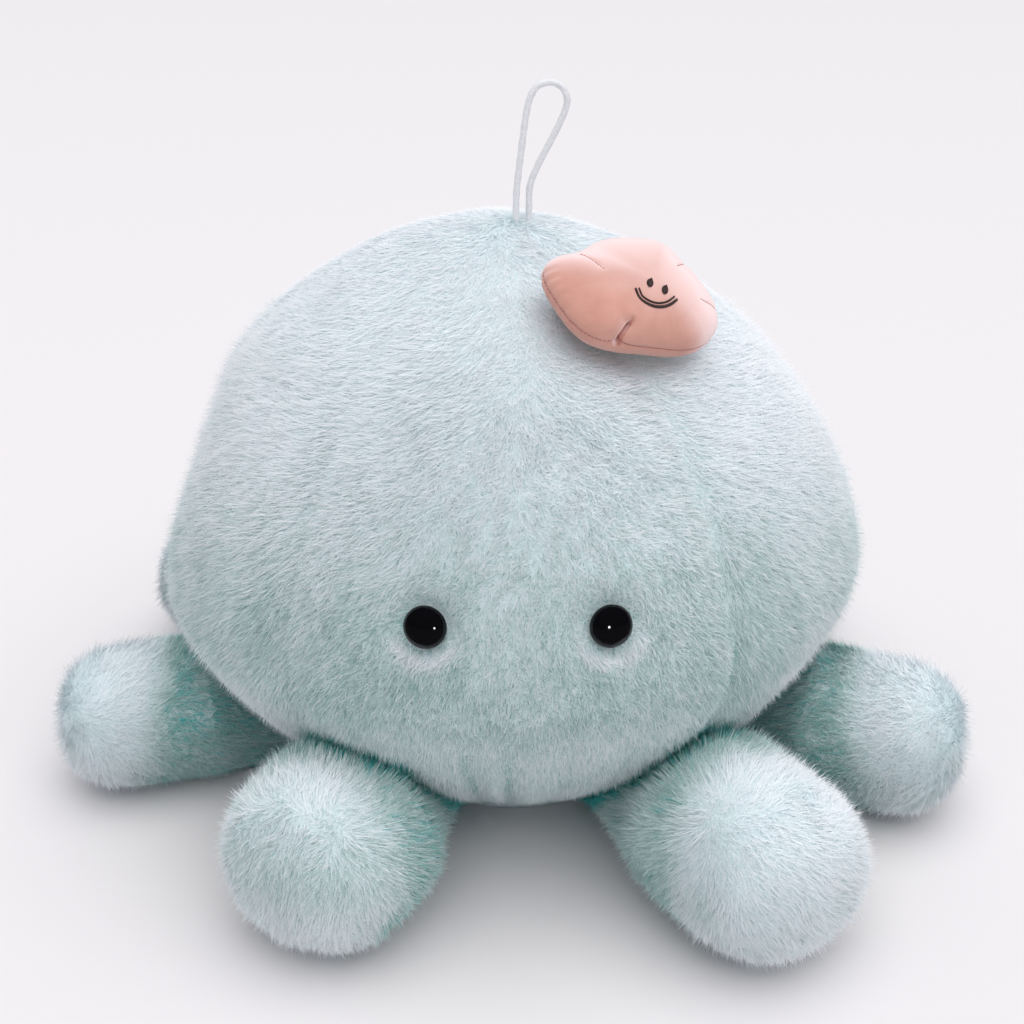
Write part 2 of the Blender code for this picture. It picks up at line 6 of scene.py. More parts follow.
import bmesh
import bpy
import numpy as np
from mathutils import Matrix, Vector
from mathutils.bvhtree import BVHTree


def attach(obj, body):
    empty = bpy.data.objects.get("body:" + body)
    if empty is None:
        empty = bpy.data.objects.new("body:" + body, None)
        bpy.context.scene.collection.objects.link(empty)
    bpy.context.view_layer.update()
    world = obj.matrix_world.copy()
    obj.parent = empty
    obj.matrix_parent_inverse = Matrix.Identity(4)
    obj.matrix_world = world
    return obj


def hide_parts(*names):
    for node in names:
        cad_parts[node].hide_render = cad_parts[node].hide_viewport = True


# Where the axes of the legs meet on the floor, and the axis of the head
BODY_X = 0.0025
BODY_Y = -0.0057
HEAD_FORWARD = 0.0067

# Camera: pixels of focal length in a frame of 1024, and where it stands
FOCAL_PIXELS = 1300.0
FRAME_PIXELS = 1024.0
CAMERA_PITCH_DEG = 25.5
CAMERA_DISTANCE = 0.5837
CAMERA_AIM_HEIGHT = 0.1082

# Head: the outer skin of the pile, as in the model. Seams are angle in degrees and how much they show
HEAD_RADIUS = 0.149
HEAD_TOP = 0.246
HEAD_BOTTOM = 0.0043
WIDEST_HEIGHT = 0.102
CROWN_EXPONENT = 1.68
BELLY_EXPONENT = 1.42
HEAD_LEAN_DEG = 3.6
SEAMS = (
    (33.75, 1.0),
    (90.0, 0.25),
    (146.25, 0.5),
    (213.75, 0.5),
    (270.0, 0.25),
    (326.25, 0.4),
)
SEAM_DEPTH = 0.0028
SEAM_HALF_WIDTH = 0.008
SEAMS_MEET_RADIUS = 0.035
PANEL_FULLNESS = 0.0022
PLEAT_COUNT = 24
PLEAT_DEPTH = 0.0014
PLEAT_TOP = 0.058
# Swells of uneven stuffing: angle in degrees, height, spread and how far the skin swells
STUFFING = (
    (-104.0, 0.207, 0.050, 0.0120),
    (-90.0, 0.150, 0.032, -0.0045),
    (-92.0, 0.084, 0.030, 0.0030),
    (35.0, 0.215, 0.040, -0.0030),
)
PANEL_RADIUS = 0.066
PANEL_THICKNESS = 0.004
PANEL_ROLL = (0.0016, 0.0005)
COARSE_HEAD = (96, 13, 9)
FINE_HEAD = (360, 46, 38)

# Legs: direction in degrees from the front towards +X, reach of the tip and half width
LEGS = {
    "leg_front_left": (-26.3, 0.1925, 0.0415),
    "leg_front_right": (32.8, 0.2090, 0.0402),
    "leg_side_left": (-75.3, 0.2075, 0.0358),
    "leg_side_right": (69.1, 0.2080, 0.0378),
    "leg_rear_side_left": (-118.0, 0.2040, 0.0385),
    "leg_rear_side_right": (125.0, 0.2010, 0.0385),
    "leg_rear_left": (-162.0, 0.2010, 0.0385),
    "leg_rear_right": (163.0, 0.2010, 0.0385),
}
# Where the pile parts at a leg's end: ahead, aside and up from the tip's middle, and how far the
# parting runs to each side, all in half widths
LEG_CROWNS = {
    "leg_front_left": (0.63, 0.12, 0.66, 0.52),
    "leg_front_right": (-0.02, -0.71, 0.58, 0.12),
}
LEG_CROWN = (0.92, 0.0, 0.30, 0.30)
# Spots at the legs' ends where the pile is tinted darker, in the same measures
LEG_SPOTS = {
    "leg_front_left": (0.45, 0.81, -0.39),
    "leg_front_right": (0.36, -0.94, -0.04),
}
# How deep the painted shade under the head is near a leg's root, and how far out that begins and ends to
# fade
LEG_SHADE_FRONT = (0.29, 0.152, 0.170)
LEG_SHADE_SIDE = (0.14, 0.152, 0.174)
LEG_ROOT = 0.076
LEG_ROOT_HALF_WIDTH = 0.0195
LEG_HEIGHT_SHARE = 0.917
LEG_FULL_AT = 0.139
LEG_FLARE_EXPONENT = 1.6
LEG_TIP_EXPONENT = 2.5
LEG_FLAT_DEPTH = 0.003

# Safety eyes
EYE_SPACING = 0.0650
EYE_MIDDLE = 0.0022
EYE_HEIGHT = 0.1340
EYE_RADIUS = 0.0077
EYE_DOME = 0.0056
EYE_RIM = 0.0009
EYE_SEAT_DEPTH = 0.0016
EYE_POST_RADIUS = 0.0024
EYE_POST_LENGTH = 0.014
SOCKET_RADIUS = 0.021
SOCKET_DEPTH = 0.004

# Ornament pad: outline by angle and radius in its own plane, and its darts
ORNAMENT_PLACE = (0.0440, -0.0640)
ORNAMENT_AZIMUTH_DEG = 39.0
ORNAMENT_ELEVATION_DEG = 56.5
ORNAMENT_LIFT = 0.0085
ORNAMENT_HALF_THICKNESS = 0.0125
ORNAMENT_OUTLINE = (
    (0.0, 0.0297),
    (23.0, 0.0313),
    (42.0, 0.0346),
    (62.0, 0.0318),
    (90.0, 0.0303),
    (115.0, 0.0302),
    (140.0, 0.0385),
    (165.0, 0.0356),
    (190.0, 0.0328),
    (214.0, 0.0258),
    (236.0, 0.0218),
    (262.0, 0.0221),
    (300.0, 0.0273),
    (330.0, 0.0307),
)
ORNAMENT_EDGE_EXPONENT = 2.15
# Darts on the pad's upper skin: their two ends in its plane and their depth
DARTS = (
    ((-0.0166, 0.0228), (-0.0157, 0.0092), 0.0007),
    ((-0.0232, -0.0148), (-0.0155, -0.0101), 0.0060),
    ((0.0290, 0.0102), (0.0145, 0.0048), 0.0007),
    ((0.0270, -0.0138), (0.0140, -0.0100), 0.0007),
)
DART_HALF_WIDTH = 0.0007
DART_DIP_WIDTH = 0.0036
EDGE_SEAM_DEPTH = 0.0005
EDGE_SEAM_HALF_WIDTH = 0.0006
PUCKER_DEPTH = 0.00012

# Stitched face on the pad, in its own plane
STITCH_EYES = ((-0.0032, -0.0004), (0.0009, -0.0047))
STITCH_EYE_HALF_WIDTH = 0.0015
STITCH_EYE_HALF_LENGTH = 0.0022
STITCH_EYE_TURN_DEG = -48.0
SMILE_POINTS = (
    (-0.0098, -0.0009),
    (-0.0105, -0.0047),
    (-0.0083, -0.0078),
    (-0.0047, -0.0096),
    (-0.0007, -0.0099),
    (0.0035, -0.0088),
)

# Hanging loop: the route of the cord's middle above the crown
LOOP_DIAMETER = 0.0026
LOOP_ROUTE = (
    (0.0016, -0.0124, -0.0055),
    (0.0016, -0.0124, 0.0020),
    (0.0020, -0.0124, 0.0100),
    (0.0038, -0.0122, 0.0250),
    (0.0060, -0.0118, 0.0400),
    (0.0090, -0.0114, 0.0466),
    (0.0140, -0.0110, 0.0486),
    (0.0188, -0.0106, 0.0470),
    (0.0211, -0.0104, 0.0425),
    (0.0200, -0.0102, 0.0372),
    (0.0162, -0.0100, 0.0290),
    (0.0104, -0.0100, 0.0180),
    (0.0072, -0.0102, 0.0100),
    (0.0067, -0.0104, 0.0020),
    (0.0067, -0.0104, -0.0055),
)
LOOP_STEP = 0.0034
LOOP_RING_STEP = 0.00042
LOOP_SIDES = 24
LOOP_STRANDS = 4.0
LOOP_LAY = 0.42
LOOP_RELIEF = 0.00007
LOOP_SINK = 0.00006

# Pile: how deep the fabric lies under the tips, and how the strands stand
PILE_DEPTH = 0.0036
STRAND_LENGTH = 0.0062
STRAND_WIDTH = 0.00026
STRAND_LEANS = (0.25, 1.38)
ROOT_SINK = 0.0003
TUFT_CELL = 0.0024
TUFT_PULL = 0.40
BLADE_SHADE = 0.16
SKIN_SHADE = 0.90
TIP_CLEARANCE = (0.0002, 0.0012)
HEAD_STRANDS = 440000
LEG_STRANDS = 35500
CONTACT_GAP = 0.0025
PAD_GAP = 0.0015
# Near a neighbour's skin: how far it is felt, where the pile stops, where the painted crease shade shows,
# and how near the pile is shortened
NEIGHBOUR_REACH = 0.02
BARE_GAP = 0.0014
CREASE_SHADE_GAPS = (0.0025, 0.009)
CROWDED_GAP = 0.014
# The head's pile: its parting over the face, the bands of height in which it changes, and the place
# of the loop's foot
PARTING_DEG = 4.0
CROWN_BAND = (0.19, 0.235)
UPPER_BAND = (0.11, 0.21)
# Painted light: the pile is paler above this band, where the light falls from above
TOP_LIGHT_BAND = (0.11, 0.19)
LOW_FACE_BAND = (0.07, 0.11)
CALM_BANDS = ((0.06, 0.10), (0.16, 0.20))
HEM_BAND = (0.010, 0.045)
LOOP_FOOT = (0.0042, -0.0115)
# The fine skins' lower parts: where they hardly move up from the floor, and the tuck under the face
LOW_SKIN_BAND = (0.004, 0.024)
LOW_SKIN_FULLNESS = 1.3
TUCK_DEPTH = 0.0034
TUCK_HEIGHT = 0.030
TUCK_SPREAD = 0.018
TUCK_HALF_ANGLE = 0.9
FINE_PLEAT_SHARE = 0.25

# Gathers under the face, where the gores are eased into the base: angle in degrees and depth. The
# pile parts more widely over those that are deeper than GATHER_DEEP
GATHERS = (
    (-40.0, 0.0010),
    (-29.0, 0.0012),
    (-17.0, 0.0012),
    (-7.2, 0.0030),
    (-0.6, 0.0030),
    (9.0, 0.0012),
    (18.5, 0.0010),
    (30.0, 0.0012),
)
GATHER_HALF_WIDTH = 0.0034
GATHER_TOP = 0.105
GATHER_FOOT = (0.012, 0.028)
GATHER_DEEP = 0.002

# Threads: how far the stitches stand up, their radii, steps and numbers. The smile's two bands are
# given by their offset and half width
SATIN_EYE_RISE = 0.00062
SATIN_EYE_COUNT = 13
SMILE_RISE = 0.00045
SMILE_THREAD = 0.00020
SMILE_STEP = 0.00032
SMILE_BANDS = ((-0.00068, 0.00060), (0.00072, 0.00040))
SEAM_RISE = 0.00018
EDGE_RISE = 0.00016
SEAM_THREAD = 0.00016
SEAM_STEP = 0.0013
EDGE_STITCHES = 150
EDGE_STITCH_SHARE = 0.74

# Colours. The pile's deep tints also paint shade and its pale tints also paint light, where the coats pick
# them
ROOT_DEEP = (0.01, 0.42, 0.41)
ROOT_DUSK = (0.19, 0.35, 0.34)
ROOT_MIDDLE = (0.38, 0.54, 0.535)
ROOT_PALE = (0.82, 0.89, 0.93)
TIP_DEEP = (0.03, 0.58, 0.56)
TIP_DUSK = (0.25, 0.46, 0.43)
TIP_SHADED = (0.51, 0.69, 0.65)
TIP_MIDDLE = (0.80, 0.895, 0.92)
TIP_PALE = (0.93, 0.95, 0.99)
GROUND_DEEP = (0.62, 0.78, 0.80)
GROUND_PALE = (0.80, 0.89, 0.91)
# Painted shade: the teal that the pile's ground takes in the creases beside a neighbour
CREASE = (0.01, 0.56, 0.54)
PINK_DEEP = (0.57, 0.28, 0.22)
PINK_MIDDLE = (0.65, 0.335, 0.27)
# Painted light and sheen: the pad's colour where it faces up and to the right
PINK_LIT = (0.94, 0.72, 0.71)
FLOOR_COLOUR = (0.745, 0.72, 0.73)

# Light: the world's colours with their strengths, where the key shines from, and the small lamp that
# the eyes show
BACKDROP = ((0.90, 0.88, 0.89), 1.0)
ROOM = ((0.93, 0.95, 1.0), 0.58)
REFLECTED = ((0.90, 0.90, 0.92), 0.012)
KEY_FROM = (0.14, -0.20, 1.0)
SPARKLE_PLACE = (0.13, -0.62, 0.19)
SPARKLE_AT = (0.0, -0.15, 0.13)

# Places in space are numbered with these, so that noise is the same in each run
CELL_PRIMES = (73856093, 19349663, 83492791)
CELL_FACTOR = 1274126177
TABLE_SIZE = 4096

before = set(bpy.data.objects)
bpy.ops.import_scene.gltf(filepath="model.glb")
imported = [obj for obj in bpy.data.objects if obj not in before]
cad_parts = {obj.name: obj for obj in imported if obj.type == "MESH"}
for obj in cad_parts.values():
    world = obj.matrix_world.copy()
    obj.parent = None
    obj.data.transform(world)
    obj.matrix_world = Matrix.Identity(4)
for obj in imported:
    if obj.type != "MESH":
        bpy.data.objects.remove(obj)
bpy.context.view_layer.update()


# Small helpers


def smooth_step(low, high, value):
    share = np.clip((value - low) / (high - low), 0.0, 1.0)
    return share * share * (3.0 - 2.0 * share)


def fall(low, high, value):
    """1 up to the low value, and 0 from the high one."""
    return 1.0 - smooth_step(low, high, value)


def bell(share):
    """1 in the middle, and near 0 from two half widths away."""
    return np.exp(-(share**2))


def arc_powers(angle, exponent):
    """Cosine and sine of a superellipse arc."""
    return math.cos(angle) ** (2.0 / exponent), math.sin(angle) ** (2.0 / exponent)


def turn_between(angle, other):
    return (angle - other + np.pi) % (2.0 * np.pi) - np.pi


def unit(vectors):
    return vectors / np.maximum(np.linalg.norm(vectors, axis=1, keepdims=True), 1e-12)


def without(vectors, normals):
    """Vectors less their parts along the normals."""
    return vectors - normals * np.sum(vectors * normals, axis=1)[:, None]


def table_row(cells):
    """A row of a table for each cell of space, well mixed but always the same."""
    key = cells @ np.array(CELL_PRIMES)
    key = (key ^ (key >> 13)) * CELL_FACTOR
    return (key ^ (key >> 16)) & (TABLE_SIZE - 1)


def space_noise(points, cell, seed):
    """Smooth noise from -1 to 1 at points of space, three independent values each."""
    table = np.random.default_rng(seed).uniform(-1.0, 1.0, (TABLE_SIZE, 3))
    at = points / cell + 1000.0
    low = np.floor(at).astype(np.int64)
    share = at - low
    share = share * share * (3.0 - 2.0 * share)
    found = np.zeros((len(points), 3))
    for corner in range(8):
        step = np.array([corner & 1, corner >> 1 & 1, corner >> 2 & 1])
        weight = np.prod(np.where(step, share, 1.0 - share), axis=1)
        found += weight[:, None] * table[table_row(low + step)]
    return found


def read_points(bm):
    return np.array([vert.co for vert in bm.verts])


def read_normals(bm):
    bm.normal_update()
    return np.array([vert.normal for vert in bm.verts])


def write_points(bm, points):
    for vert, point in zip(bm.verts, points):
        vert.co = point


def read_rows(items, label, kind=np.float32):
    """What a mesh holds for each of its items, in rows of three."""
    values = np.empty(len(items) * 3, kind)
    items.foreach_get(label, values)
    return values.reshape(-1, 3)


def mark_points(piece, label, values):
    """Writes a number at each point of a piece, for its material to read."""
    mark = piece.data.attributes.new(label, "FLOAT", "POINT")
    mark.data.foreach_set("value", values.astype(np.float32))


def face_outwards(bm):
    bmesh.ops.recalc_face_normals(bm, faces=bm.faces)


def order_faces(bm):
    """Puts the faces in the order of their points. A spin leaves them in another order in each run,
    and the strands' roots follow that order."""
    bm.verts.index_update()
    count = len(bm.verts)

    def place(face):
        first, second, third = sorted(vert.index for vert in face.verts)[:3]
        return (first * count + second) * count + third

    bm.faces.sort(key=place)
    bm.faces.index_update()


def lathe(points, segments):
    """Turns a profile of (radius, height) points about Z. Points of radius 0 close the ends."""
    bm = bmesh.new()
    chain = [bm.verts.new((radius, 0.0, height)) for radius, height in points]
    edges = [bm.edges.new(pair) for pair in zip(chain, chain[1:])]
    bmesh.ops.spin(
        bm,
        geom=chain + edges,
        cent=(0.0, 0.0, 0.0),
        axis=(0.0, 0.0, 1.0),
        dvec=(0.0, 0.0, 0.0),
        angle=2.0 * math.pi,
        steps=segments,
        use_merge=True,
    )
    bmesh.ops.remove_doubles(bm, verts=bm.verts, dist=0.00001)
    face_outwards(bm)
    order_faces(bm)
    return bm


def add_tube(bm, rings):
    """A closed tube through rings of points."""
    loops = [[bm.verts.new(point) for point in ring] for ring in rings]
    for low, high in zip(loops, loops[1:]):
        for corner in range(len(low)):
            after = (corner + 1) % len(low)
            bm.faces.new((low[corner], low[after], high[after], high[corner]))
    bm.faces.new(loops[0][::-1])
    bm.faces.new(loops[-1])


def add_object(name, data):
    made = bpy.data.objects.new(name, data)
    bpy.context.scene.collection.objects.link(made)
    return made


def mesh_object(name, bm, finish):
    mesh = bpy.data.meshes.new(name)
    bm.to_mesh(mesh)
    bm.free()
    mesh.materials.append(finish)
    return add_object(name, mesh)


def add_piece(name, bm, finish, node=None):
    """A smooth piece on the body. It may stand for a node of the model, which it hides."""
    piece = mesh_object(name, bm, finish)
    piece.data.shade_smooth()
    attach(piece, "root")
    if node is not None:
        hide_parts(node)
    return piece


def surface_hit(bm, start, direction):
    tree = BVHTree.FromBMesh(bm)
    place, normal, _, _ = tree.ray_cast(Vector(start), Vector(direction))
    return place, normal


def curve_through(keys, steps):
    """Points along an open smooth curve (Catmull-Rom) through the keys."""
    keys = [Vector(key) for key in keys]
    points = []
    spans = len(keys) - 1
    for step in range(steps + 1):
        at = spans * step / steps
        index = min(int(at), spans - 1)
        share = at - index
        here, after = keys[index], keys[index + 1]
        before = keys[index - 1] if index > 0 else here * 2.0 - after
        later = keys[index + 2] if index + 2 <= spans else after * 2.0 - here
        points.append(
            0.5
            * (
                2.0 * here
                + (after - before) * share
                + (2.0 * before - 5.0 * here + 4.0 * after - later) * share**2
                + (3.0 * here - before - 3.0 * after + later) * share**3
            )
        )
    return points


def evenly_spaced(points, step):
    """Points a step apart along a fine polyline, with both of its ends."""
    length = sum((b - a).length for a, b in zip(points, points[1:]))
    count = max(round(length / step), 2)
    spacing = length / count
    placed, gone = [points[0]], 0.0
    for a, b in zip(points, points[1:]):
        span = (b - a).length
        while len(placed) < count and gone + span >= spacing * len(placed):
            placed.append(a.lerp(b, (spacing * len(placed) - gone) / span))
        gone += span
    return placed + [points[-1]]


# Materials


def new_material(name, colour, roughness, **constants):
    made = bpy.data.materials.new(name)
    made.use_nodes = True
    shader = made.node_tree.nodes["Principled BSDF"]
    shader.inputs["Base Color"].default_value = (*colour, 1.0)
    shader.inputs["Roughness"].default_value = roughness
    for label, value in constants.items():
        shader.inputs[label.replace("_", " ")].default_value = value
    return made


def add_node(tree, kind, **values):
    node = tree.nodes.new(kind)
    for label, value in values.items():
        setattr(node, label, value)
    return node


def noise_node(tree, scale, detail=2.0, roughness=0.5):
    """3-D noise on Object coordinates."""
    place = add_node(tree, "ShaderNodeTexCoord")
    grain = add_node(tree, "ShaderNodeTexNoise")
    grain.inputs["Scale"].default_value = scale
    grain.inputs["Detail"].default_value = detail
    grain.inputs["Roughness"].default_value = roughness
    tree.links.new(place.outputs["Object"], grain.inputs["Vector"])
    return grain


def ramp_node(tree, source, stops):
    ramp = add_node(tree, "ShaderNodeValToRGB")
    elements = ramp.color_ramp.elements
    while len(elements) < len(stops):
        elements.new(0.5)
    for element, (place, colour) in zip(elements, stops):
        element.position = place
        element.color = (*colour, 1.0)
    tree.links.new(source, ramp.inputs["Fac"])
    return ramp


def bump_node(tree, source, strength, distance):
    bump = add_node(tree, "ShaderNodeBump")
    bump.inputs["Strength"].default_value = strength
    bump.inputs["Distance"].default_value = distance
    tree.links.new(source, bump.inputs["Height"])
    tree.links.new(bump.outputs["Normal"], tree.nodes["Principled BSDF"].inputs["Normal"])


def mix_colours(tree, factor, first, second):
    """Mixes two colours, each given as a socket or as a value, and gives the socket of the mix."""
    mix = add_node(tree, "ShaderNodeMix", data_type="RGBA")
    tree.links.new(factor, mix.inputs["Factor"])
    for socket, source in ((mix.inputs[6], first), (mix.inputs[7], second)):
        if isinstance(source, tuple):
            socket.default_value = (*source, 1.0)
        else:
            tree.links.new(source, socket)
    return mix.outputs[2]


def paint(tree, colour):
    tree.links.new(colour, tree.nodes["Principled BSDF"].inputs["Base Color"])


def mottle_group():
    """A group for every cloth and thread here: noise that wanders between two colours."""
    tree = bpy.data.node_groups.new("Mottle", "ShaderNodeTree")
    face = tree.interface
    face.new_socket("Scale", in_out="INPUT", socket_type="NodeSocketFloat")
    face.new_socket("Deep", in_out="INPUT", socket_type="NodeSocketColor")
    face.new_socket("Pale", in_out="INPUT", socket_type="NodeSocketColor")
    face.new_socket("Colour", in_out="OUTPUT", socket_type="NodeSocketColor")
    face.new_socket("Height", in_out="OUTPUT", socket_type="NodeSocketFloat")
    given = add_node(tree, "NodeGroupInput")
    result = add_node(tree, "NodeGroupOutput")
    grain = noise_node(tree, 1.0, 3.0, 0.6)
    tree.links.new(given.outputs["Scale"], grain.inputs["Scale"])
    spread = add_node(tree, "ShaderNodeMapRange")
    spread.inputs["From Min"].default_value = 0.32
    spread.inputs["From Max"].default_value = 0.68
    tree.links.new(grain.outputs["Fac"], spread.inputs["Value"])
    mixed = mix_colours(tree, spread.outputs["Result"], given.outputs["Deep"], given.outputs["Pale"])
    tree.links.new(mixed, result.inputs["Colour"])
    tree.links.new(spread.outputs["Result"], result.inputs["Height"])
    return tree


def mottled_material(name, group, scale, deep, pale, roughness, socket="Base Color", **constants):
    """A material whose colour, or another socket, wanders between two values."""
    made = new_material(name, pale, roughness, **constants)
    tree = made.node_tree
    mottle = add_node(tree, "ShaderNodeGroup", node_tree=group)
    mottle.inputs["Scale"].default_value = scale
    mottle.inputs["Deep"].default_value = (*deep, 1.0)
    mottle.inputs["Pale"].default_value = (*pale, 1.0)
    tree.links.new(mottle.outputs["Colour"], tree.nodes["Principled BSDF"].inputs[socket])
    return made, mottle


def strand_material():
    """The pile: each strand's own map gives its tint across and root to tip along."""
    made = new_material("Pile strands", (0.7, 0.85, 0.86), 0.85, Sheen_Weight=0.15)
    tree = made.node_tree
    place = add_node(tree, "ShaderNodeUVMap", uv_map="Strand")
    split = add_node(tree, "ShaderNodeSeparateXYZ")
    tree.links.new(place.outputs["UV"], split.inputs["Vector"])
    root_stops = ((0.0, ROOT_DEEP), (0.12, ROOT_DUSK), (0.42, ROOT_MIDDLE), (1.0, ROOT_PALE))
    tip_stops = ((0.0, TIP_DEEP), (0.12, TIP_DUSK), (0.30, TIP_SHADED), (0.60, TIP_MIDDLE), (1.0, TIP_PALE))
    roots = ramp_node(tree, split.outputs["X"], root_stops)
    tips = ramp_node(tree, split.outputs["X"], tip_stops)
    rise = ramp_node(tree, split.outputs["Y"], ((0.05, (0.0,) * 3), (0.60, (1.0,) * 3)))
    paint(tree, mix_colours(tree, rise.outputs["Color"], roots.outputs["Color"], tips.outputs["Color"]))
    return made


def ground_material(group):
    """The pile's ground: the fabric and the strands' roots, with painted shade in the creases beside a
    neighbour.
    """
    made, mottle = mottled_material("Pile ground", group, 1400.0, GROUND_DEEP, GROUND_PALE, 0.95)
    tree = made.node_tree
    bump_node(tree, mottle.outputs["Height"], 0.6, 0.0008)
    # Painted shade: the ground turns deep teal in the creases, by the mark of the crease shade
    depth = add_node(tree, "ShaderNodeAttribute", attribute_name="Crease")
    paint(tree, mix_colours(tree, depth.outputs["Fac"], mottle.outputs["Colour"], CREASE))
    return made


def velour_material(group):
    """The pad's cloth, with painted light and sheen that make it paler where it faces up and to the right.
    """
    sheen = {"Sheen_Weight": 0.3, "Sheen_Roughness": 0.45}
    made, mottle = mottled_material("Ornament velour", group, 70.0, PINK_DEEP, PINK_MIDDLE, 0.9, **sheen)
    tree = made.node_tree
    # Painted light and sheen: the mark read here makes the cloth paler where it faces up and to the right
    lit_side = add_node(tree, "ShaderNodeAttribute", attribute_name="LitSide")
    paint(tree, mix_colours(tree, lit_side.outputs["Fac"], mottle.outputs["Colour"], PINK_LIT))
    nap = noise_node(tree, 2600.0, 2.0, 0.6)
    bump_node(tree, nap.outputs["Fac"], 0.45, 0.0004)
    return made


def cord_material(group):
    deep, pale = (0.70, 0.71, 0.74), (0.86, 0.87, 0.89)
    made, mottle = mottled_material("Loop cord", group, 1500.0, deep, pale, 0.6, Sheen_Weight=0.1)
    bump_node(made.node_tree, mottle.outputs["Height"], 0.3, 0.0002)
    return made


def eye_material(group):
    """Black plastic, a little smeared."""
    smear = ((0.05,) * 3, (0.09,) * 3, 0.06, "Roughness")
    made, _ = mottled_material("Glossy black plastic", group, 160.0, *smear, Specular_IOR_Level=0.3)
    made.node_tree.nodes["Principled BSDF"].inputs["Base Color"].default_value = (0.003, 0.003, 0.004, 1.0)
    return made


# Head


def head_profile(crown_rings, belly_rings):
    points = [(0.0, HEAD_TOP)]
    for step in range(1, crown_rings + 1):
        across, up = arc_powers(0.5 * math.pi * (1.0 - step / crown_rings), CROWN_EXPONENT)
        points.append((HEAD_RADIUS * across, WIDEST_HEIGHT + (HEAD_TOP - WIDEST_HEIGHT) * up))
    for step in range(1, belly_rings + 1):
        across, down = arc_powers(0.5 * math.pi * step / belly_rings, BELLY_EXPONENT)
        radius = PANEL_RADIUS + (HEAD_RADIUS - PANEL_RADIUS) * across
        points.append((radius, WIDEST_HEIGHT - (WIDEST_HEIGHT - HEAD_BOTTOM) * down))
    points[-1] = (PANEL_RADIUS, HEAD_BOTTOM)
    points.append((0.5 * PANEL_RADIUS, HEAD_BOTTOM))
    points.append((0.0, HEAD_BOTTOM))
    return points


def seam_distance(angle, radius):
    """How far along the skin the nearest gore seam is, and how much that seam shows."""
    turns = np.array([np.abs(turn_between(angle, math.radians(seam))) for seam, _ in SEAMS])
    nearest = np.argmin(turns, axis=0)
    return np.min(turns, axis=0) * radius, np.array([shown for _, shown in SEAMS])[nearest]


def seam_relief(angle, radius):
    apart, shown = seam_distance(angle, radius)
    fade = np.minimum(radius / SEAMS_MEET_RADIUS, 1.0)
    valley = SEAM_DEPTH * shown * bell(apart / SEAM_HALF_WIDTH)
    half_gore = math.radians(SEAMS[1][0] - SEAMS[0][0]) / 2.0
    fullness = PANEL_FULLNESS * np.sin(0.5 * np.pi * np.minimum(apart / radius / half_gore, 1.0))
    return fade * (fullness - valley)


def stuffing_relief(angle, radius, height):
    out = 0.0
    for swell_deg, swell_height, spread, swell in STUFFING:
        beside = turn_between(angle, math.radians(swell_deg)) * radius
        above = height - swell_height
        out = out + swell * np.exp(-(beside**2 + above**2) / spread**2)
    return out


def gather_relief(angle, radius, height):
    """The narrow creases where the gores are eased into the base, under the face."""
    out = 0.0
    for gather_deg, depth in GATHERS:
        beside = turn_between(angle, math.radians(gather_deg)) * radius
        out = out - depth * bell(beside / GATHER_HALF_WIDTH)
    return out * fall(0.5 * GATHER_TOP, GATHER_TOP, height) * smooth_step(*GATHER_FOOT, height)


def head_shell(segments, crown_rings, belly_rings, fine=False):
    """The head's outer skin. The coarse one is the model's. The fine one also has the narrow gathers
    and the tuck under the face, with its pleats eased out."""
    bm = lathe(head_profile(crown_rings, belly_rings), segments)
    if not fine:
        bmesh.ops.triangulate(bm, faces=bm.faces, quad_method="FIXED")
    at = read_points(bm)
    radius = np.hypot(at[:, 0], at[:, 1])
    moved = (radius > 1e-6) & (at[:, 2] > HEAD_BOTTOM + 1e-6)
    radius = np.maximum(radius, 1e-6)
    angle = np.arctan2(at[:, 0], -at[:, 1])
    rise = smooth_step(HEAD_BOTTOM, PLEAT_TOP, at[:, 2])
    relief = seam_relief(angle, radius) * smooth_step(HEAD_BOTTOM, WIDEST_HEIGHT, at[:, 2])
    shown = smooth_step(HEAD_BOTTOM, 2.0 * HEAD_BOTTOM, at[:, 2])
    relief += stuffing_relief(angle, radius, at[:, 2]) * shown
    if fine:
        relief += gather_relief(angle, radius, at[:, 2])
        tuck = TUCK_DEPTH * bell((at[:, 2] - TUCK_HEIGHT) / TUCK_SPREAD)
        relief -= tuck * shown * bell(angle / TUCK_HALF_ANGLE)
    pleat = PLEAT_DEPTH * (1.0 - rise) * np.cos(PLEAT_COUNT * angle) * (FINE_PLEAT_SHARE if fine else 1.0)
    share = np.where(moved, 1.0 + (relief + pleat) / radius, 1.0)
    at[:, :2] *= share[:, None]
    lean = math.sin(math.radians(HEAD_LEAN_DEG))
    free = smooth_step(HEAD_BOTTOM, WIDEST_HEIGHT, at[:, 2])
    across, above = at[:, 0].copy(), at[:, 2] - WIDEST_HEIGHT
    at[:, 2] += lean * across * free
    at[:, 0] -= lean * above * free
    at += np.array([BODY_X, BODY_Y - HEAD_FORWARD, 0.0])
    write_points(bm, at)
    return bm


def eye_axis(bm, side):
    """Where an eye's middle lies on the skin, and the way it looks."""
    centre = Vector((BODY_X, BODY_Y - HEAD_FORWARD, WIDEST_HEIGHT))
    start = (BODY_X + EYE_MIDDLE + side * EYE_SPACING / 2.0, centre.y - 2.0 * HEAD_RADIUS, EYE_HEIGHT)
    place, _ = surface_hit(bm, start, (0.0, 1.0, 0.0))
    outward = place - centre
    stretch = HEAD_TOP - WIDEST_HEIGHT
    outward = Vector((outward.x / HEAD_RADIUS**2, outward.y / HEAD_RADIUS**2, outward.z / stretch**2))
    return place, outward.normalized()


def press_sockets(bm, axes):
    """The shallow hollows in the skin that the posts' pull makes about the eyes."""
    at = read_points(bm)
    for place, outward in axes:
        away = np.linalg.norm(at - np.array(place), axis=1)
        press = SOCKET_DEPTH * fall(0.0, SOCKET_RADIUS, away)
        at -= np.array(outward) * press[:, None]
    write_points(bm, at)


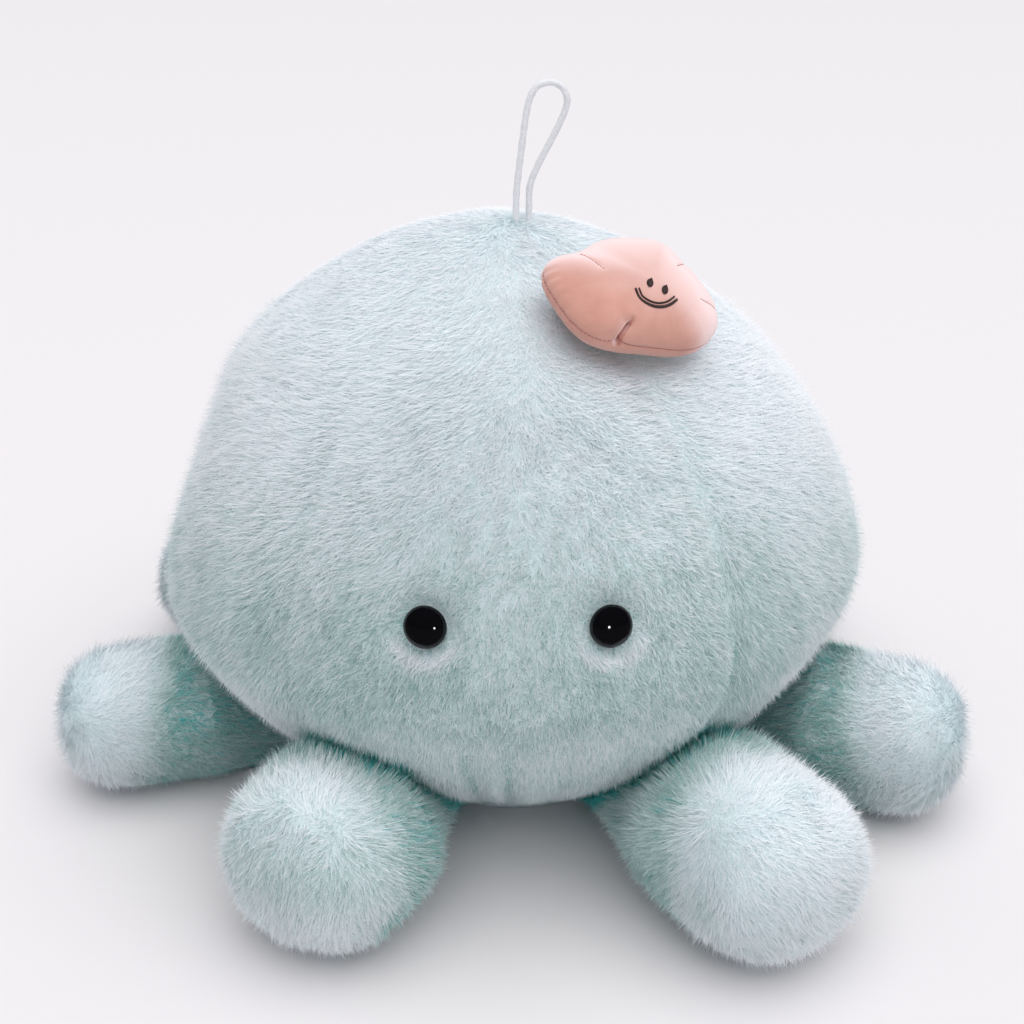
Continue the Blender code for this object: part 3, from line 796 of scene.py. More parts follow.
def draw_in(bm, aside, down):
    """Moves a skin inwards by the pile's depth aside and downwards, but hardly up from the floor."""
    at, normals = read_points(bm), read_normals(bm)
    level = normals[:, :2] / np.maximum(np.hypot(normals[:, 0], normals[:, 1]), 0.45)[:, None]
    low = fall(*LOW_SKIN_BAND, at[:, 2])
    moved = LOW_SKIN_FULLNESS * low[:, None] * level + (1.0 - low)[:, None] * normals[:, :2]
    at[:, :2] -= aside * moved
    at[:, 2] -= down * normals[:, 2] * (1.0 - low)
    write_points(bm, at)


def press_against(bm, tree, gap):
    """Pushes the points of a soft piece out of a neighbour's skin, and a gap away from it."""
    for vert in bm.verts:
        place, normal, _, away = tree.find_nearest(vert.co, 0.08)
        if place is None:
            continue
        above = (vert.co - place).dot(normal)
        if above < gap and (above > 0.0 or away < 0.06):
            vert.co = place + normal * gap


# Legs


def leg_half_width(along, full):
    share = np.clip((along - LEG_ROOT) / (LEG_FULL_AT - LEG_ROOT), 0.0, 1.0)
    return LEG_ROOT_HALF_WIDTH + (full - LEG_ROOT_HALF_WIDTH) * share**LEG_FLARE_EXPONENT


def leg_shell(name):
    angle_deg, reach, full = LEGS[name]
    tip_start = reach - full
    points = [(0.0, LEG_ROOT)]
    rings, tip_rings = 26, 22
    for step in range(rings + 1):
        along = LEG_ROOT + (tip_start - LEG_ROOT) * step / rings
        points.append((float(leg_half_width(along, full)), along))
    for step in range(1, tip_rings):
        across, ahead = arc_powers(0.5 * math.pi * step / tip_rings, LEG_TIP_EXPONENT)
        points.append((full * across, tip_start + full * ahead))
    points.append((0.0, reach))
    bm = lathe(points, 96)
    at = read_points(bm)
    section = leg_half_width(np.minimum(at[:, 2], tip_start), full)
    height = LEG_HEIGHT_SHARE * (section + at[:, 1]) - LEG_FLAT_DEPTH
    at = np.stack([at[:, 0], -at[:, 2], np.maximum(height, 0.0)], axis=1)
    turn = math.radians(angle_deg)
    cosine, sine = math.cos(turn), math.sin(turn)
    at[:, :2] = at[:, :2] @ np.array([[cosine, sine], [-sine, cosine]])
    at += np.array([BODY_X, BODY_Y, 0.0])
    write_points(bm, at)
    face_outwards(bm)
    return bm


# Pile


def strand_template():
    """One flat strand, as wide as it is long, which ends in a point."""
    bm = bmesh.new()
    bmesh.ops.create_circle(bm, cap_ends=True, segments=3, radius=1.0)
    if bm.faces[:][0].normal.z < 0.0:
        bmesh.ops.reverse_faces(bm, faces=bm.faces)
    bm.verts.index_update()
    places = np.array([vert.co for vert in bm.verts])[:, :2]
    faces = [[vert.index for vert in face.verts] for face in bm.faces]
    bm.free()
    tip = int(np.argmax(places[:, 1]))
    base = [index for index in range(3) if index != tip]
    shape = np.zeros((3, 2))
    shape[tip] = (0.0, 1.0)
    for index in base:
        shape[index, 0] = math.copysign(0.5, places[index, 0])
    return shape, faces


def spread_roots(mesh, count, weigh, rng):
    """Roots spread over a mesh by area and weight, with the normals there."""
    mesh.calc_loop_triangles()
    corners = read_rows(mesh.loop_triangles, "vertices", np.int32)
    places = read_rows(mesh.vertices, "co").astype(float)
    normals = read_rows(mesh.vertex_normals, "vector").astype(float)
    a, b, c = (places[corners[:, k]] for k in range(3))
    area = 0.5 * np.linalg.norm(np.cross(b - a, c - a), axis=1)
    area *= weigh((a + b + c) / 3.0)
    chosen = rng.choice(len(area), count, p=area / area.sum())
    first, second = np.sqrt(rng.random(count)), rng.random(count)
    shares = np.stack([1.0 - first, first * (1.0 - second), first * second], axis=1)
    picked = corners[chosen]
    roots = np.einsum("nk,nkd->nd", shares, places[picked])
    return roots, unit(np.einsum("nk,nkd->nd", shares, normals[picked]))


def clump_pull(roots, cell, seed):
    """From each root towards the middle of its tuft."""
    table = np.random.default_rng(seed).uniform(0.15, 0.85, (TABLE_SIZE, 3))
    low = np.floor(roots / cell).astype(np.int64)
    return (low + table[table_row(low + 4000)]) * cell - roots


def stamp_strands(name, roots, normals, combs, leans, lengths, tints, finish, rng):
    """Sets one strand at each root. Its map gives a tint across and runs from root to tip."""
    shape, faces = strand_template()
    count = len(roots)
    combs = unit(without(combs, normals))
    leans = np.clip(leans, *STRAND_LEANS)[:, None]
    base = roots - normals * ROOT_SINK
    pull = without(clump_pull(roots, TUFT_CELL, 71) * (rng.random(count) < 0.5)[:, None], normals)
    tip = base + (np.cos(leans) * normals + np.sin(leans) * combs) * lengths[:, None] + TUFT_PULL * pull
    tip[:, 2] = np.maximum(tip[:, 2], rng.uniform(*TIP_CLEARANCE, count))
    ahead = unit(tip - base)
    flat = unit(np.cross(ahead, normals))
    roll = rng.uniform(-0.5, 0.5, count)[:, None]
    side = flat * np.cos(roll) + np.cross(flat, ahead) * np.sin(roll)
    width = (STRAND_WIDTH * rng.uniform(0.7, 1.3, count))[:, None]
    facing = unit(unit(np.cross(side, ahead)) * BLADE_SHADE + normals * SKIN_SHADE)
    points = np.empty((count, len(shape), 3))
    maps = np.empty((count, len(shape), 2))
    for index, (across, along) in enumerate(shape):
        points[:, index] = (tip if along > 0.5 else base) + side * width * across
        maps[:, index, 0] = np.clip(tints, 0.01, 0.99) + 0.008 * across
        maps[:, index, 1] = along
    mesh = bpy.data.meshes.new(name)
    mesh.vertices.add(count * len(shape))
    mesh.vertices.foreach_set("co", points.ravel())
    pattern = np.concatenate(faces)
    sizes = np.array([len(face) for face in faces])
    corners = (pattern[None, :] + np.arange(count)[:, None] * len(shape)).ravel()
    mesh.loops.add(len(corners))
    mesh.loops.foreach_set("vertex_index", corners.astype(np.int32))
    totals = np.tile(sizes, count)
    mesh.polygons.add(len(totals))
    starts = np.concatenate([[0], np.cumsum(totals)[:-1]])
    mesh.polygons.foreach_set("loop_start", starts.astype(np.int32))
    mesh.update(calc_edges=True)
    layer = mesh.uv_layers.new(name="Strand")
    layer.uv.foreach_set("vector", maps.reshape(-1, 2)[corners].astype(np.float32).ravel())
    mesh.shade_smooth()
    mesh.normals_split_custom_set_from_vertices(np.repeat(facing, len(shape), axis=0))
    mesh.materials.append(finish)
    coat = add_object(name, mesh)
    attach(coat, "root")


def nearest_gap(points, tree, reach):
    """How far each point is from a neighbour's skin, up to a reach."""
    found = np.full(len(points), reach)
    for index, point in enumerate(points):
        place, _, _, away = tree.find_nearest(point, reach)
        if place is not None:
            found[index] = away
    return found


def crease_shade_depth(gaps):
    """How deep the painted crease shade is beside a neighbour's skin."""
    return fall(*CREASE_SHADE_GAPS, gaps)


def crowded(gaps):
    return np.clip(0.75 + gaps / CROWDED_GAP, 0.0, 1.0)


def mark_crease_shade(skin, neighbours):
    places = read_rows(skin.data.vertices, "co").astype(float)
    # Painted shade: how deep the crease shade is at each point of a skin, for its ground to read
    mark_points(skin, "Crease", crease_shade_depth(nearest_gap(places, neighbours, NEIGHBOUR_REACH)))


def head_coat(skin, neighbours, eyes, pad_tree, strands):
    """The head's pile in pieces: brushed away from a parting over the face, and down elsewhere."""
    rng = np.random.default_rng(11)

    def weigh(places):
        low = smooth_step(0.004, 0.030, places[:, 2])
        back = smooth_step(-0.02, 0.08, places[:, 1])
        return (0.25 + 0.75 * low) * (1.0 - 0.35 * back)

    roots, normals = spread_roots(skin.data, HEAD_STRANDS, weigh, rng)
    count, height = len(roots), roots[:, 2]
    axis = np.array([BODY_X, BODY_Y - HEAD_FORWARD])
    flat = roots[:, :2] - axis
    radius = np.hypot(flat[:, 0], flat[:, 1])
    angle = np.arctan2(flat[:, 0], -flat[:, 1])

    # The way the pile is brushed
    down = unit(np.array([0.0, 0.0, -1.0]) - normals * (-normals[:, 2])[:, None])
    aside = unit(np.cross(normals, np.array([0.0, 0.0, 1.0])) * -1.0)
    parting = turn_between(angle, math.radians(PARTING_DEG))
    front = fall(1.2, 2.4, np.abs(parting))
    high = smooth_step(*CROWN_BAND, height)
    low_face = fall(*LOW_FACE_BAND, height)
    upper = smooth_step(*UPPER_BAND, height)
    sweep = np.tanh(parting / 0.35) * front * (1.0 - 0.75 * low_face) * (1.0 - 0.7 * high)
    calm = bell(parting / 0.45) * smooth_step(*CALM_BANDS[0], height) * fall(*CALM_BANDS[1], height)
    smooth = high + 0.8 * smooth_step(0.45, 0.9, parting) * smooth_step(0.10, 0.16, height)
    smooth = np.clip(smooth, 0.0, 1.0)
    steep = 1.0 - 0.4 * upper + 0.5 * low_face
    combs = down * steep[:, None] + aside * ((0.35 + 0.75 * upper) * sweep)[:, None]
    combs += (0.40 - 0.2 * smooth)[:, None] * space_noise(roots, 0.016, 1)
    combs += (0.24 + 0.8 * calm - 0.12 * smooth)[:, None] * space_noise(roots, 0.004, 2)
    combs += rng.normal(0.0, 1.0, roots.shape) * (0.26 + 0.30 * calm)[:, None]
    leans = 1.00 + 0.08 * space_noise(roots, 0.012, 3)[:, 0] + rng.normal(0.0, 0.12, count)
    leans += 0.12 * smooth - 0.10 * calm + 0.26 * smooth_step(0.17, 0.225, height)
    foot = np.array([BODY_X + LOOP_FOOT[0], BODY_Y + LOOP_FOOT[1]])
    leans -= 0.40 * bell(np.linalg.norm(roots[:, :2] - foot, axis=1) / 0.008) * high

    # Its length, and its tint from deep to pale, which also paints light high up, on the flanks and under
    # the belly, and shade along the seams, in the gathers and round the eyes
    lengths = STRAND_LENGTH * (1.0 + 0.10 * space_noise(roots, 0.010, 4)[:, 0])
    lengths *= rng.uniform(0.75, 1.12, count) * (1.0 - 0.32 * calm) * (1.0 - 0.35 * low_face)
    apart, shown = seam_distance(angle, radius)
    near_seam = shown * bell(apart / 0.0032) * smooth_step(0.02, 0.06, radius)
    lengths *= 1.0 - 0.45 * near_seam
    patchy = 0.09 * space_noise(roots, 0.030, 5)[:, 0] + 0.09 * space_noise(roots, 0.006, 6)[:, 0]
    uneven = patchy + rng.normal(0.0, 0.19, count)
    # Painted light: paler high up, where the light falls from above
    top_lit = smooth_step(*TOP_LIGHT_BAND, height)
    flank = smooth_step(0.40, 0.85, np.abs(parting))
    tints = 0.36 + 0.54 * top_lit + 0.08 * high
    tints += (1.0 - 0.75 * smooth) * (1.0 + 0.4 * flank + 0.4 * calm) * uneven
    # Painted light on the flanks
    tints += 0.12 * flank * (1.0 - 0.6 * top_lit)
    tints = np.maximum(tints, 0.13 + 0.05 * rng.random(count))
    # Painted light thrown up from the floor below the belly's turn, and painted shade along the seams
    tints += 0.14 * fall(0.080, 0.102, height) - 0.08 * near_seam
    lengths *= 0.30 + 0.70 * smooth_step(*HEM_BAND, height)
    for gather_deg, depth in GATHERS:
        beside = turn_between(angle, math.radians(gather_deg)) * radius
        crease = bell(beside / (0.0020 if depth > GATHER_DEEP else 0.0012))
        crease *= fall(0.6 * GATHER_TOP, GATHER_TOP, height) * smooth_step(0.012, 0.024, height)
        lengths *= 1.0 - min(140.0 * depth, 0.6) * crease
        # Painted shade in the gathers
        tints -= 80.0 * depth * crease
    guard = (rng.random(count) < 0.13) & (near_seam < 0.3) & (height < 0.20)
    lengths[guard] *= 1.25
    leans[guard] *= 0.55
    tints[guard] += 0.12

    # The sockets: bare under the domes, short round them, pale and tufted below them, with a ring of
    # painted shade just round each dome
    keep = np.ones(count, bool)
    for place, outward in eyes:
        place, outward = np.array(place), np.array(outward)
        offset = roots - place
        offset -= outward * (offset @ outward)[:, None]
        apart = np.linalg.norm(offset, axis=1)
        near = np.linalg.norm(roots - place, axis=1) < 0.04
        keep &= ~(near & (apart < EYE_RADIUS * 0.93))
        rim = np.where(near, fall(EYE_RADIUS, EYE_RADIUS * 1.9, apart), 0.0)
        away = unit(offset)
        stray = np.where(rng.random(count) < 0.07, -1.0, 1.0)
        combs = combs * (1.0 - 0.9 * rim)[:, None] + away * (1.4 * rim * stray)[:, None]
        lengths *= 1.0 - 0.45 * rim
        leans = leans * (1.0 - 0.25 * rim)
        below = bell((apart - EYE_RADIUS * 1.60) / (0.26 * EYE_RADIUS))
        below *= near * smooth_step(0.1, 0.8, -away[:, 2])
        tints += 0.90 * below
        lengths *= 1.0 + 0.60 * below
        leans = leans * (1.0 - 0.35 * below)
        # Painted shade in the socket just round the dome
        tints -= 0.18 * bell((apart - EYE_RADIUS * 1.08) / (0.22 * EYE_RADIUS)) * near

    # Where the legs and the pad touch, with painted shade in the crease beside the legs
    gaps = np.full(count, NEIGHBOUR_REACH)
    low = height < 0.10
    gaps[low] = nearest_gap(roots[low], neighbours, NEIGHBOUR_REACH)
    keep &= gaps > BARE_GAP
    lengths *= crowded(gaps)
    # Painted shade in the crease beside the legs
    tints -= 0.80 * crease_shade_depth(gaps)
    pad_gaps = np.full(count, NEIGHBOUR_REACH)
    under = (height > 0.18) & (roots[:, 0] > 0.0) & (roots[:, 1] < -0.02)
    pad_gaps[under] = nearest_gap(roots[under], pad_tree, NEIGHBOUR_REACH)
    for index in np.nonzero(pad_gaps < NEIGHBOUR_REACH)[0]:
        hit = pad_tree.ray_cast(Vector(roots[index]), Vector(normals[index]), NEIGHBOUR_REACH)
        if hit[0] is not None and hit[3] < 0.005:
            keep[index] = False
    lengths *= np.clip(0.35 + pad_gaps / 0.009, 0.0, 1.0)

    quarter = np.floor((angle + np.pi) / (2.0 * np.pi) * 3.999).astype(int)
    for index, side in enumerate(("back_left", "front_left", "front_right", "back_right")):
        part = keep & (quarter == index)
        given = (values[part] for values in (roots, normals, combs, leans, lengths, tints))
        stamp_strands("head_pile_" + side, *given, strands, rng)


def leg_coat(name, skin, neighbours, strands):
    """A leg's pile, which leans away from a crown at the leg's end."""
    rng = np.random.default_rng(100 + list(LEGS).index(name))
    angle_deg, reach, full = LEGS[name]

    def weigh(places):
        return 0.20 + 0.80 * smooth_step(0.002, 0.014, places[:, 2])

    roots, normals = spread_roots(skin.data, LEG_STRANDS, weigh, rng)
    count, height = len(roots), roots[:, 2]
    turn = math.radians(angle_deg)
    ahead = np.array([math.sin(turn), -math.cos(turn), 0.0])
    beside = np.array([math.cos(turn), math.sin(turn), 0.0])

    def at_end(forth, aside, rise):
        """A place near the leg's end, given in half widths."""
        middle = np.array([BODY_X, BODY_Y, 0.9 * full]) + ahead * (reach - full)
        return middle + full * (ahead * forth + beside * aside + np.array([0.0, 0.0, rise]))

    # The way the pile is brushed, and its length
    *place, spread = LEG_CROWNS.get(name, LEG_CROWN)
    crown = at_end(*place)
    across = np.clip((roots - crown) @ beside, -spread * full, spread * full)
    away = without(roots - crown - 0.9 * across[:, None] * beside, normals)
    close = bell(np.linalg.norm(away, axis=1) / 0.009)
    combs = unit(away)
    combs += (0.80 + 0.6 * close)[:, None] * space_noise(roots, 0.013, 21)
    combs += (0.40 + 1.0 * close)[:, None] * space_noise(roots, 0.0045, 22)
    combs += rng.normal(0.0, 0.32, roots.shape)
    leans = 1.00 + 0.08 * space_noise(roots, 0.010, 23)[:, 0] + rng.normal(0.0, 0.14, count)
    lengths = STRAND_LENGTH * (1.0 + 0.14 * space_noise(roots, 0.010, 24)[:, 0])
    lengths *= rng.uniform(0.70, 1.12, count) * (0.6 + 0.4 * smooth_step(0.002, 0.020, height))

    # Its tint: painted shade towards the root, under the head, and painted light on its top and on the
    # crown
    out = (roots - np.array([BODY_X, BODY_Y, 0.0])) @ ahead
    deep, start, end = LEG_SHADE_FRONT if "front" in name else LEG_SHADE_SIDE
    shade = smooth_step(start, end, out + 0.30 * (height - 0.05))
    # Painted shade near the root, under the head, and painted light on the leg's top
    tints = deep + (0.78 - deep) * shade + 0.16 * shade * smooth_step(0.035, 0.065, height)
    above = height - crown[2]
    # Painted light above the crown's height
    tints += 0.12 * shade * smooth_step(0.0, 0.006, above)
    # Painted shade on this leg a little below the crown's height
    if name == "leg_front_left":
        tints -= 0.34 * shade * bell((above + 0.012) / 0.014)
    tints += 0.10 * space_noise(roots, 0.024, 25)[:, 0] + 0.08 * space_noise(roots, 0.007, 26)[:, 0]
    tints += rng.normal(0.0, 0.19 if name == "leg_front_left" else 0.13, count)
    if name in LEG_SPOTS:
        tints -= 0.34 * bell(np.linalg.norm(roots - at_end(*LEG_SPOTS[name]), axis=1) / 0.0055)
    guard = rng.random(count) < 0.14
    lengths[guard] *= 1.20
    leans[guard] *= 0.58
    tints[guard] += 0.10

    gaps = nearest_gap(roots, neighbours, NEIGHBOUR_REACH)
    keep = gaps > BARE_GAP
    lengths *= crowded(gaps)
    # Painted shade in the crease beside the head
    tints -= 0.60 * crease_shade_depth(gaps)
    given = (values[keep] for values in (roots, normals, combs, leans, lengths, tints))
    stamp_strands(name + "_pile", *given, strands, rng)


# Ornament


def outline_radius(values):
    """The pad's outline at angles in degrees: a closed smooth curve (Catmull-Rom) through its keys."""
    places, sizes = np.array(ORNAMENT_OUTLINE).T
    values = np.mod(values, 360.0)
    index = np.searchsorted(places, values, side="right") - 1
    count = len(places)
    start = places[index]
    end = np.where(index == count - 1, 360.0, places[(index + 1) % count])
    share = (values - start) / (end - start)
    before, here = sizes[index - 1], sizes[index]
    after, later = sizes[(index + 1) % count], sizes[(index + 2) % count]
    leaving, arriving = 0.5 * (after - before), 0.5 * (later - here)
    cube, square = share**3, share**2
    return (
        (2.0 * cube - 3.0 * square + 1.0) * here
        + (cube - 2.0 * square + share) * leaving
        + (3.0 * square - 2.0 * cube) * after
        + (cube - square) * arriving
    )


def ornament_frame(coarse_head):
    """Placing matrix of the pad: X level along the head, Y uphill, Z out of the head."""
    azimuth, elevation = math.radians(ORNAMENT_AZIMUTH_DEG), math.radians(ORNAMENT_ELEVATION_DEG)
    flat = math.cos(elevation)
    out = Vector((math.sin(azimuth) * flat, -math.cos(azimuth) * flat, math.sin(elevation)))
    level = Vector((0.0, 0.0, 1.0)).cross(out).normalized()
    uphill = out.cross(level)
    across, along = BODY_X + ORNAMENT_PLACE[0], BODY_Y + ORNAMENT_PLACE[1]
    place, _ = surface_hit(coarse_head, (across, along, 2.0 * HEAD_TOP), (0.0, 0.0, -1.0))
    turn = Matrix((level, uphill, out)).transposed().to_4x4()
    return Matrix.Translation(place + out * ORNAMENT_LIFT) @ turn


def ornament_shell():
    """The stuffed pad in its own frame, with its darts, edge seam and gathers."""
    rings = 104
    profile = [(0.0, ORNAMENT_HALF_THICKNESS)]
    for step in range(1, rings):
        angle = math.pi * (0.5 - step / rings)
        across, up = arc_powers(abs(angle), ORNAMENT_EDGE_EXPONENT)
        height = ORNAMENT_HALF_THICKNESS * up * (1.0 if angle >= 0.0 else -1.0)
        profile.append((across, height if abs(angle) > 1e-9 else 0.0))
    profile.append((0.0, -ORNAMENT_HALF_THICKNESS))
    bm = lathe(profile, 400)
    at = read_points(bm)
    share = np.maximum(np.hypot(at[:, 0], at[:, 1]), 1e-6)
    angle = np.arctan2(at[:, 1], at[:, 0])
    at[:, :2] *= outline_radius(np.degrees(angle))[:, None]
    press = EDGE_SEAM_DEPTH * bell(at[:, 2] / EDGE_SEAM_HALF_WIDTH) * smooth_step(0.8, 0.97, share)
    turn = np.degrees(angle) % 360.0
    gathered = smooth_step(138.0, 150.0, turn) * fall(178.0, 196.0, turn)
    ripple = np.sin(np.radians(turn) * 46.0 + 2.0 * np.sin(np.radians(turn) * 7.0))
    press += PUCKER_DEPTH * (1.0 + ripple) * gathered * smooth_step(0.86, 0.98, share)
    for start, end, depth in DARTS:
        beside, along = beside_line(at[:, :2], start, end)
        fade = fall(0.55, 1.0, along) * (at[:, 2] > -0.0010)
        wide = 0.5 if depth < 0.001 else 0.25
        groove = (1.0 - wide) * bell(beside / DART_HALF_WIDTH)
        groove += wide * bell(beside / DART_DIP_WIDTH)
        press += depth * groove * fade
    write_points(bm, at)
    write_points(bm, at - read_normals(bm) * press[:, None])
    return bm


def beside_line(places, start, end):
    """How far places in the plane are from a line, and their share of the way along it."""
    start, way = np.array(start), np.array(end) - np.array(start)
    along = np.clip((places - start) @ way / (way @ way), 0.0, 1.0)
    return np.linalg.norm(places - start - along[:, None] * way, axis=1), along


def pad_point(tree, across, along, above):
    """The point a given way above the pad's upper skin, in the pad's frame."""
    place, normal, _, _ = tree.ray_cast(Vector((across, along, 0.05)), Vector((0.0, 0.0, -1.0)))
    return (None, None) if place is None else (place + normal * above, normal)


def add_thread(bm, start, end, lift, radius):
    """One stitch: a thin thread that rises out of the cloth, crosses over and dives back."""
    ahead = (end - start).normalized()
    side = ahead.cross(lift.normalized()).normalized()
    up = side.cross(ahead)
    sides, steps = 6, 5
    turns = [2.0 * math.pi * corner / sides for corner in range(sides)]
    rings = []
    for step in range(steps + 1):
        share = step / steps
        rise = math.sin(math.pi * share)
        centre = start.lerp(end, share) + lift * rise
        size = radius * (0.55 + 0.45 * rise)
        rings.append([centre + side * math.cos(turn) * size + up * math.sin(turn) * size for turn in turns])
    add_tube(bm, rings)


def add_satin(bm, tree, middle, half_way, rise, radius):
    """One satin stitch across a band, from half a way on one side of its middle to the other."""
    a, b = middle - half_way, middle + half_way
    start, _ = pad_point(tree, a.x, a.y, 0.0)
    end, normal = pad_point(tree, b.x, b.y, 0.0)
    add_thread(bm, start, end, normal * rise, radius)


def add_stitching(name, bm, placing, thread, node=None):
    """Sets threads that were laid in the pad's own plane on the pad."""
    face_outwards(bm)
    bmesh.ops.transform(bm, matrix=placing, verts=bm.verts)
    add_piece(name, bm, thread, node)


def add_stitched_eye(name, node, tree, placing, middle, thread):
    """An oval of satin stitch: threads laid side by side across it."""
    bm = bmesh.new()
    turn = math.radians(STITCH_EYE_TURN_DEG)
    long_way = Vector((-math.sin(turn), math.cos(turn), 0.0))
    cross_way = Vector((math.cos(turn), math.sin(turn), 0.0))
    radius = STITCH_EYE_HALF_LENGTH / SATIN_EYE_COUNT * 1.35
    for index in range(SATIN_EYE_COUNT):
        share = (index + 0.5) / SATIN_EYE_COUNT * 2.0 - 1.0
        half = 0.86 * STITCH_EYE_HALF_WIDTH * math.sqrt(max(1.0 - share * share, 0.05))
        spot = Vector((*middle, 0.0)) + long_way * STITCH_EYE_HALF_LENGTH * share
        add_satin(bm, tree, spot, cross_way * half, SATIN_EYE_RISE, radius)
    add_stitching(name, bm, placing, thread, node)


def add_smile(tree, placing, thread):
    """The smile: two bands of short satin stitches side by side along its route."""
    bm = bmesh.new()
    route = evenly_spaced(curve_through([(*point, 0.0) for point in SMILE_POINTS], 120), SMILE_STEP)
    for index in range(1, len(route) - 1):
        ahead = (route[index + 1] - route[index - 1]).normalized()
        across = Vector((-ahead.y, ahead.x, 0.0))
        ease = 0.75 + 0.25 * math.sin(math.pi * (index / (len(route) - 1)))
        for offset, half in SMILE_BANDS:
            half = half * ease + 0.00006 * math.sin(9.7 * index)
            add_satin(bm, tree, route[index] + across * offset, across * half, SMILE_RISE, SMILE_THREAD)
    add_stitching("smile_satin_stitch", bm, placing, thread, "smile_stitching")


def add_seam_thread(tree, placing, thread):
    """The thread that shuts the pad: small stitches in its darts and round its edge seam."""
    bm = bmesh.new()
    for start, end, _ in DARTS:
        start, end = Vector((*start, 0.0)), Vector((*end, 0.0))
        line = evenly_spaced([start, end.lerp(start, 0.12)], SEAM_STEP)
        for a, b in zip(line, line[1:]):
            low, _ = pad_point(tree, a.x, a.y, -0.0001)
            high, normal = pad_point(tree, b.x, b.y, -0.0001)
            if low is not None and high is not None:
                add_thread(bm, low, high, normal * SEAM_RISE, SEAM_THREAD)
    for index in range(EDGE_STITCHES):
        ends = []
        for side in (0.0, EDGE_STITCH_SHARE):
            turn = 2.0 * math.pi * (index + side) / EDGE_STITCHES
            out = Vector((math.cos(turn), math.sin(turn), 0.0))
            place, normal, _, _ = tree.ray_cast(out * 0.1, -out)
            ends.append(place)
        add_thread(bm, *ends, normal * EDGE_RISE, SEAM_THREAD)
    add_stitching("ornament_seam_thread", bm, placing, thread)


# Eyes and loop


def add_eye(name, node, placing, finish):
    """A domed eye with its rounded rim, its back and its post."""
    profile = []
    steps = 18
    for step in range(steps + 1):
        angle = 0.5 * math.pi * (1.0 - step / steps)
        up = EYE_RIM + (EYE_DOME - EYE_RIM) * math.sin(angle)
        profile.append((EYE_RADIUS * math.cos(angle) if step else 0.0, up))
    profile += [(EYE_RADIUS - 0.0001, 0.5 * EYE_RIM), (EYE_RADIUS - 0.0003, 0.0)]
    profile += [(EYE_POST_RADIUS, 0.0), (EYE_POST_RADIUS, 0.0012 - EYE_POST_LENGTH)]
    profile += [(0.0016, -EYE_POST_LENGTH), (0.0, -EYE_POST_LENGTH)]
    bm = lathe(profile, 96)
    bmesh.ops.transform(bm, matrix=placing, verts=bm.verts)
    piece = add_piece(name, bm, finish, node)
    piece.data.set_sharp_from_angle(angle=math.radians(50.0))


def add_loop(coarse_head, finish):
    """The hanging loop: a round cord with two sets of strands that cross as in a braid."""
    first, last = LOOP_ROUTE[0], LOOP_ROUTE[-1]
    across = BODY_X + 0.5 * (first[0] + last[0])
    along = BODY_Y + 0.5 * (first[1] + last[1])
    crown, _ = surface_hit(coarse_head, (across, along, 2.0 * HEAD_TOP), (0.0, 0.0, -1.0))
    keys = [(BODY_X + x, BODY_Y + y, crown.z + z) for x, y, z in LOOP_ROUTE]
    fine = curve_through(keys, 40 * len(keys))
    path = evenly_spaced(fine, LOOP_STEP)
    rings = evenly_spaced(fine, LOOP_RING_STEP)
    tangents = [rings[min(i + 1, len(rings) - 1)] - rings[max(i - 1, 0)] for i in range(len(rings))]
    out = Vector((0.0, -1.0, 0.0))
    loops = []
    for index, (centre, ahead) in enumerate(zip(rings, tangents)):
        ahead = ahead.normalized()
        out = (out - ahead * out.dot(ahead)).normalized()
        side = ahead.cross(out)
        ring = []
        for corner in range(LOOP_SIDES):
            turn = 2.0 * math.pi * corner / LOOP_SIDES
            lay, counter = (LOOP_STRANDS * turn + way * index * LOOP_LAY for way in (1.0, -1.0))
            relief = LOOP_RELIEF * (max(math.cos(lay), 0.0) + max(math.cos(counter), 0.0)) - LOOP_SINK
            size = LOOP_DIAMETER / 2.0 + relief
            ring.append(centre + out * math.cos(turn) * size + side * math.sin(turn) * size)
        loops.append(ring)
    bm = bmesh.new()
    add_tube(bm, loops)
    face_outwards(bm)
    piece = add_piece("hanging_loop_cord", bm, finish, "hanging_loop")


# Camera, floor and lights


def add_camera():
    pitch = math.radians(CAMERA_PITCH_DEG)
    data = bpy.data.cameras.new("camera")
    data.sensor_fit = "HORIZONTAL"
    data.sensor_width = 36.0
    data.lens = 36.0 * FOCAL_PIXELS / FRAME_PIXELS
    camera = add_object("camera", data)
    back, up = CAMERA_DISTANCE * math.cos(pitch), CAMERA_DISTANCE * math.sin(pitch)
    camera.location = (BODY_X, BODY_Y - back, CAMERA_AIM_HEIGHT + up)
    camera.rotation_euler = (0.5 * math.pi - pitch, 0.0, 0.0)
    bpy.context.scene.camera = camera


def add_lamp(name, kind, place, towards, **values):
    """A lamp at a place, which shines towards a direction."""
    data = bpy.data.lights.new(name, kind)
    for label, value in values.items():
        setattr(data, label, value)
    lamp = add_object(name, data)
    lamp.location = place
    lamp.rotation_euler = Vector(towards).to_track_quat("-Z", "Y").to_euler()
    return lamp


def add_lamps():
    """A wide soft key from above, and a small lamp that only the glossy eyes show."""
    key_light = {"angle": math.radians(75.0), "energy": 2.35, "color": (1.0, 0.99, 0.985)}
    key = add_lamp("key", "SUN", (0.0, 0.0, 0.0), -Vector(KEY_FROM), **key_light)
    key.visible_glossy = False
    ahead = Vector(SPARKLE_AT) - Vector(SPARKLE_PLACE)
    sparkle = add_lamp("sparkle", "AREA", SPARKLE_PLACE, ahead, shape="DISK", size=0.055, energy=0.6)
    sparkle.visible_diffuse = False
    sparkle.visible_camera = False


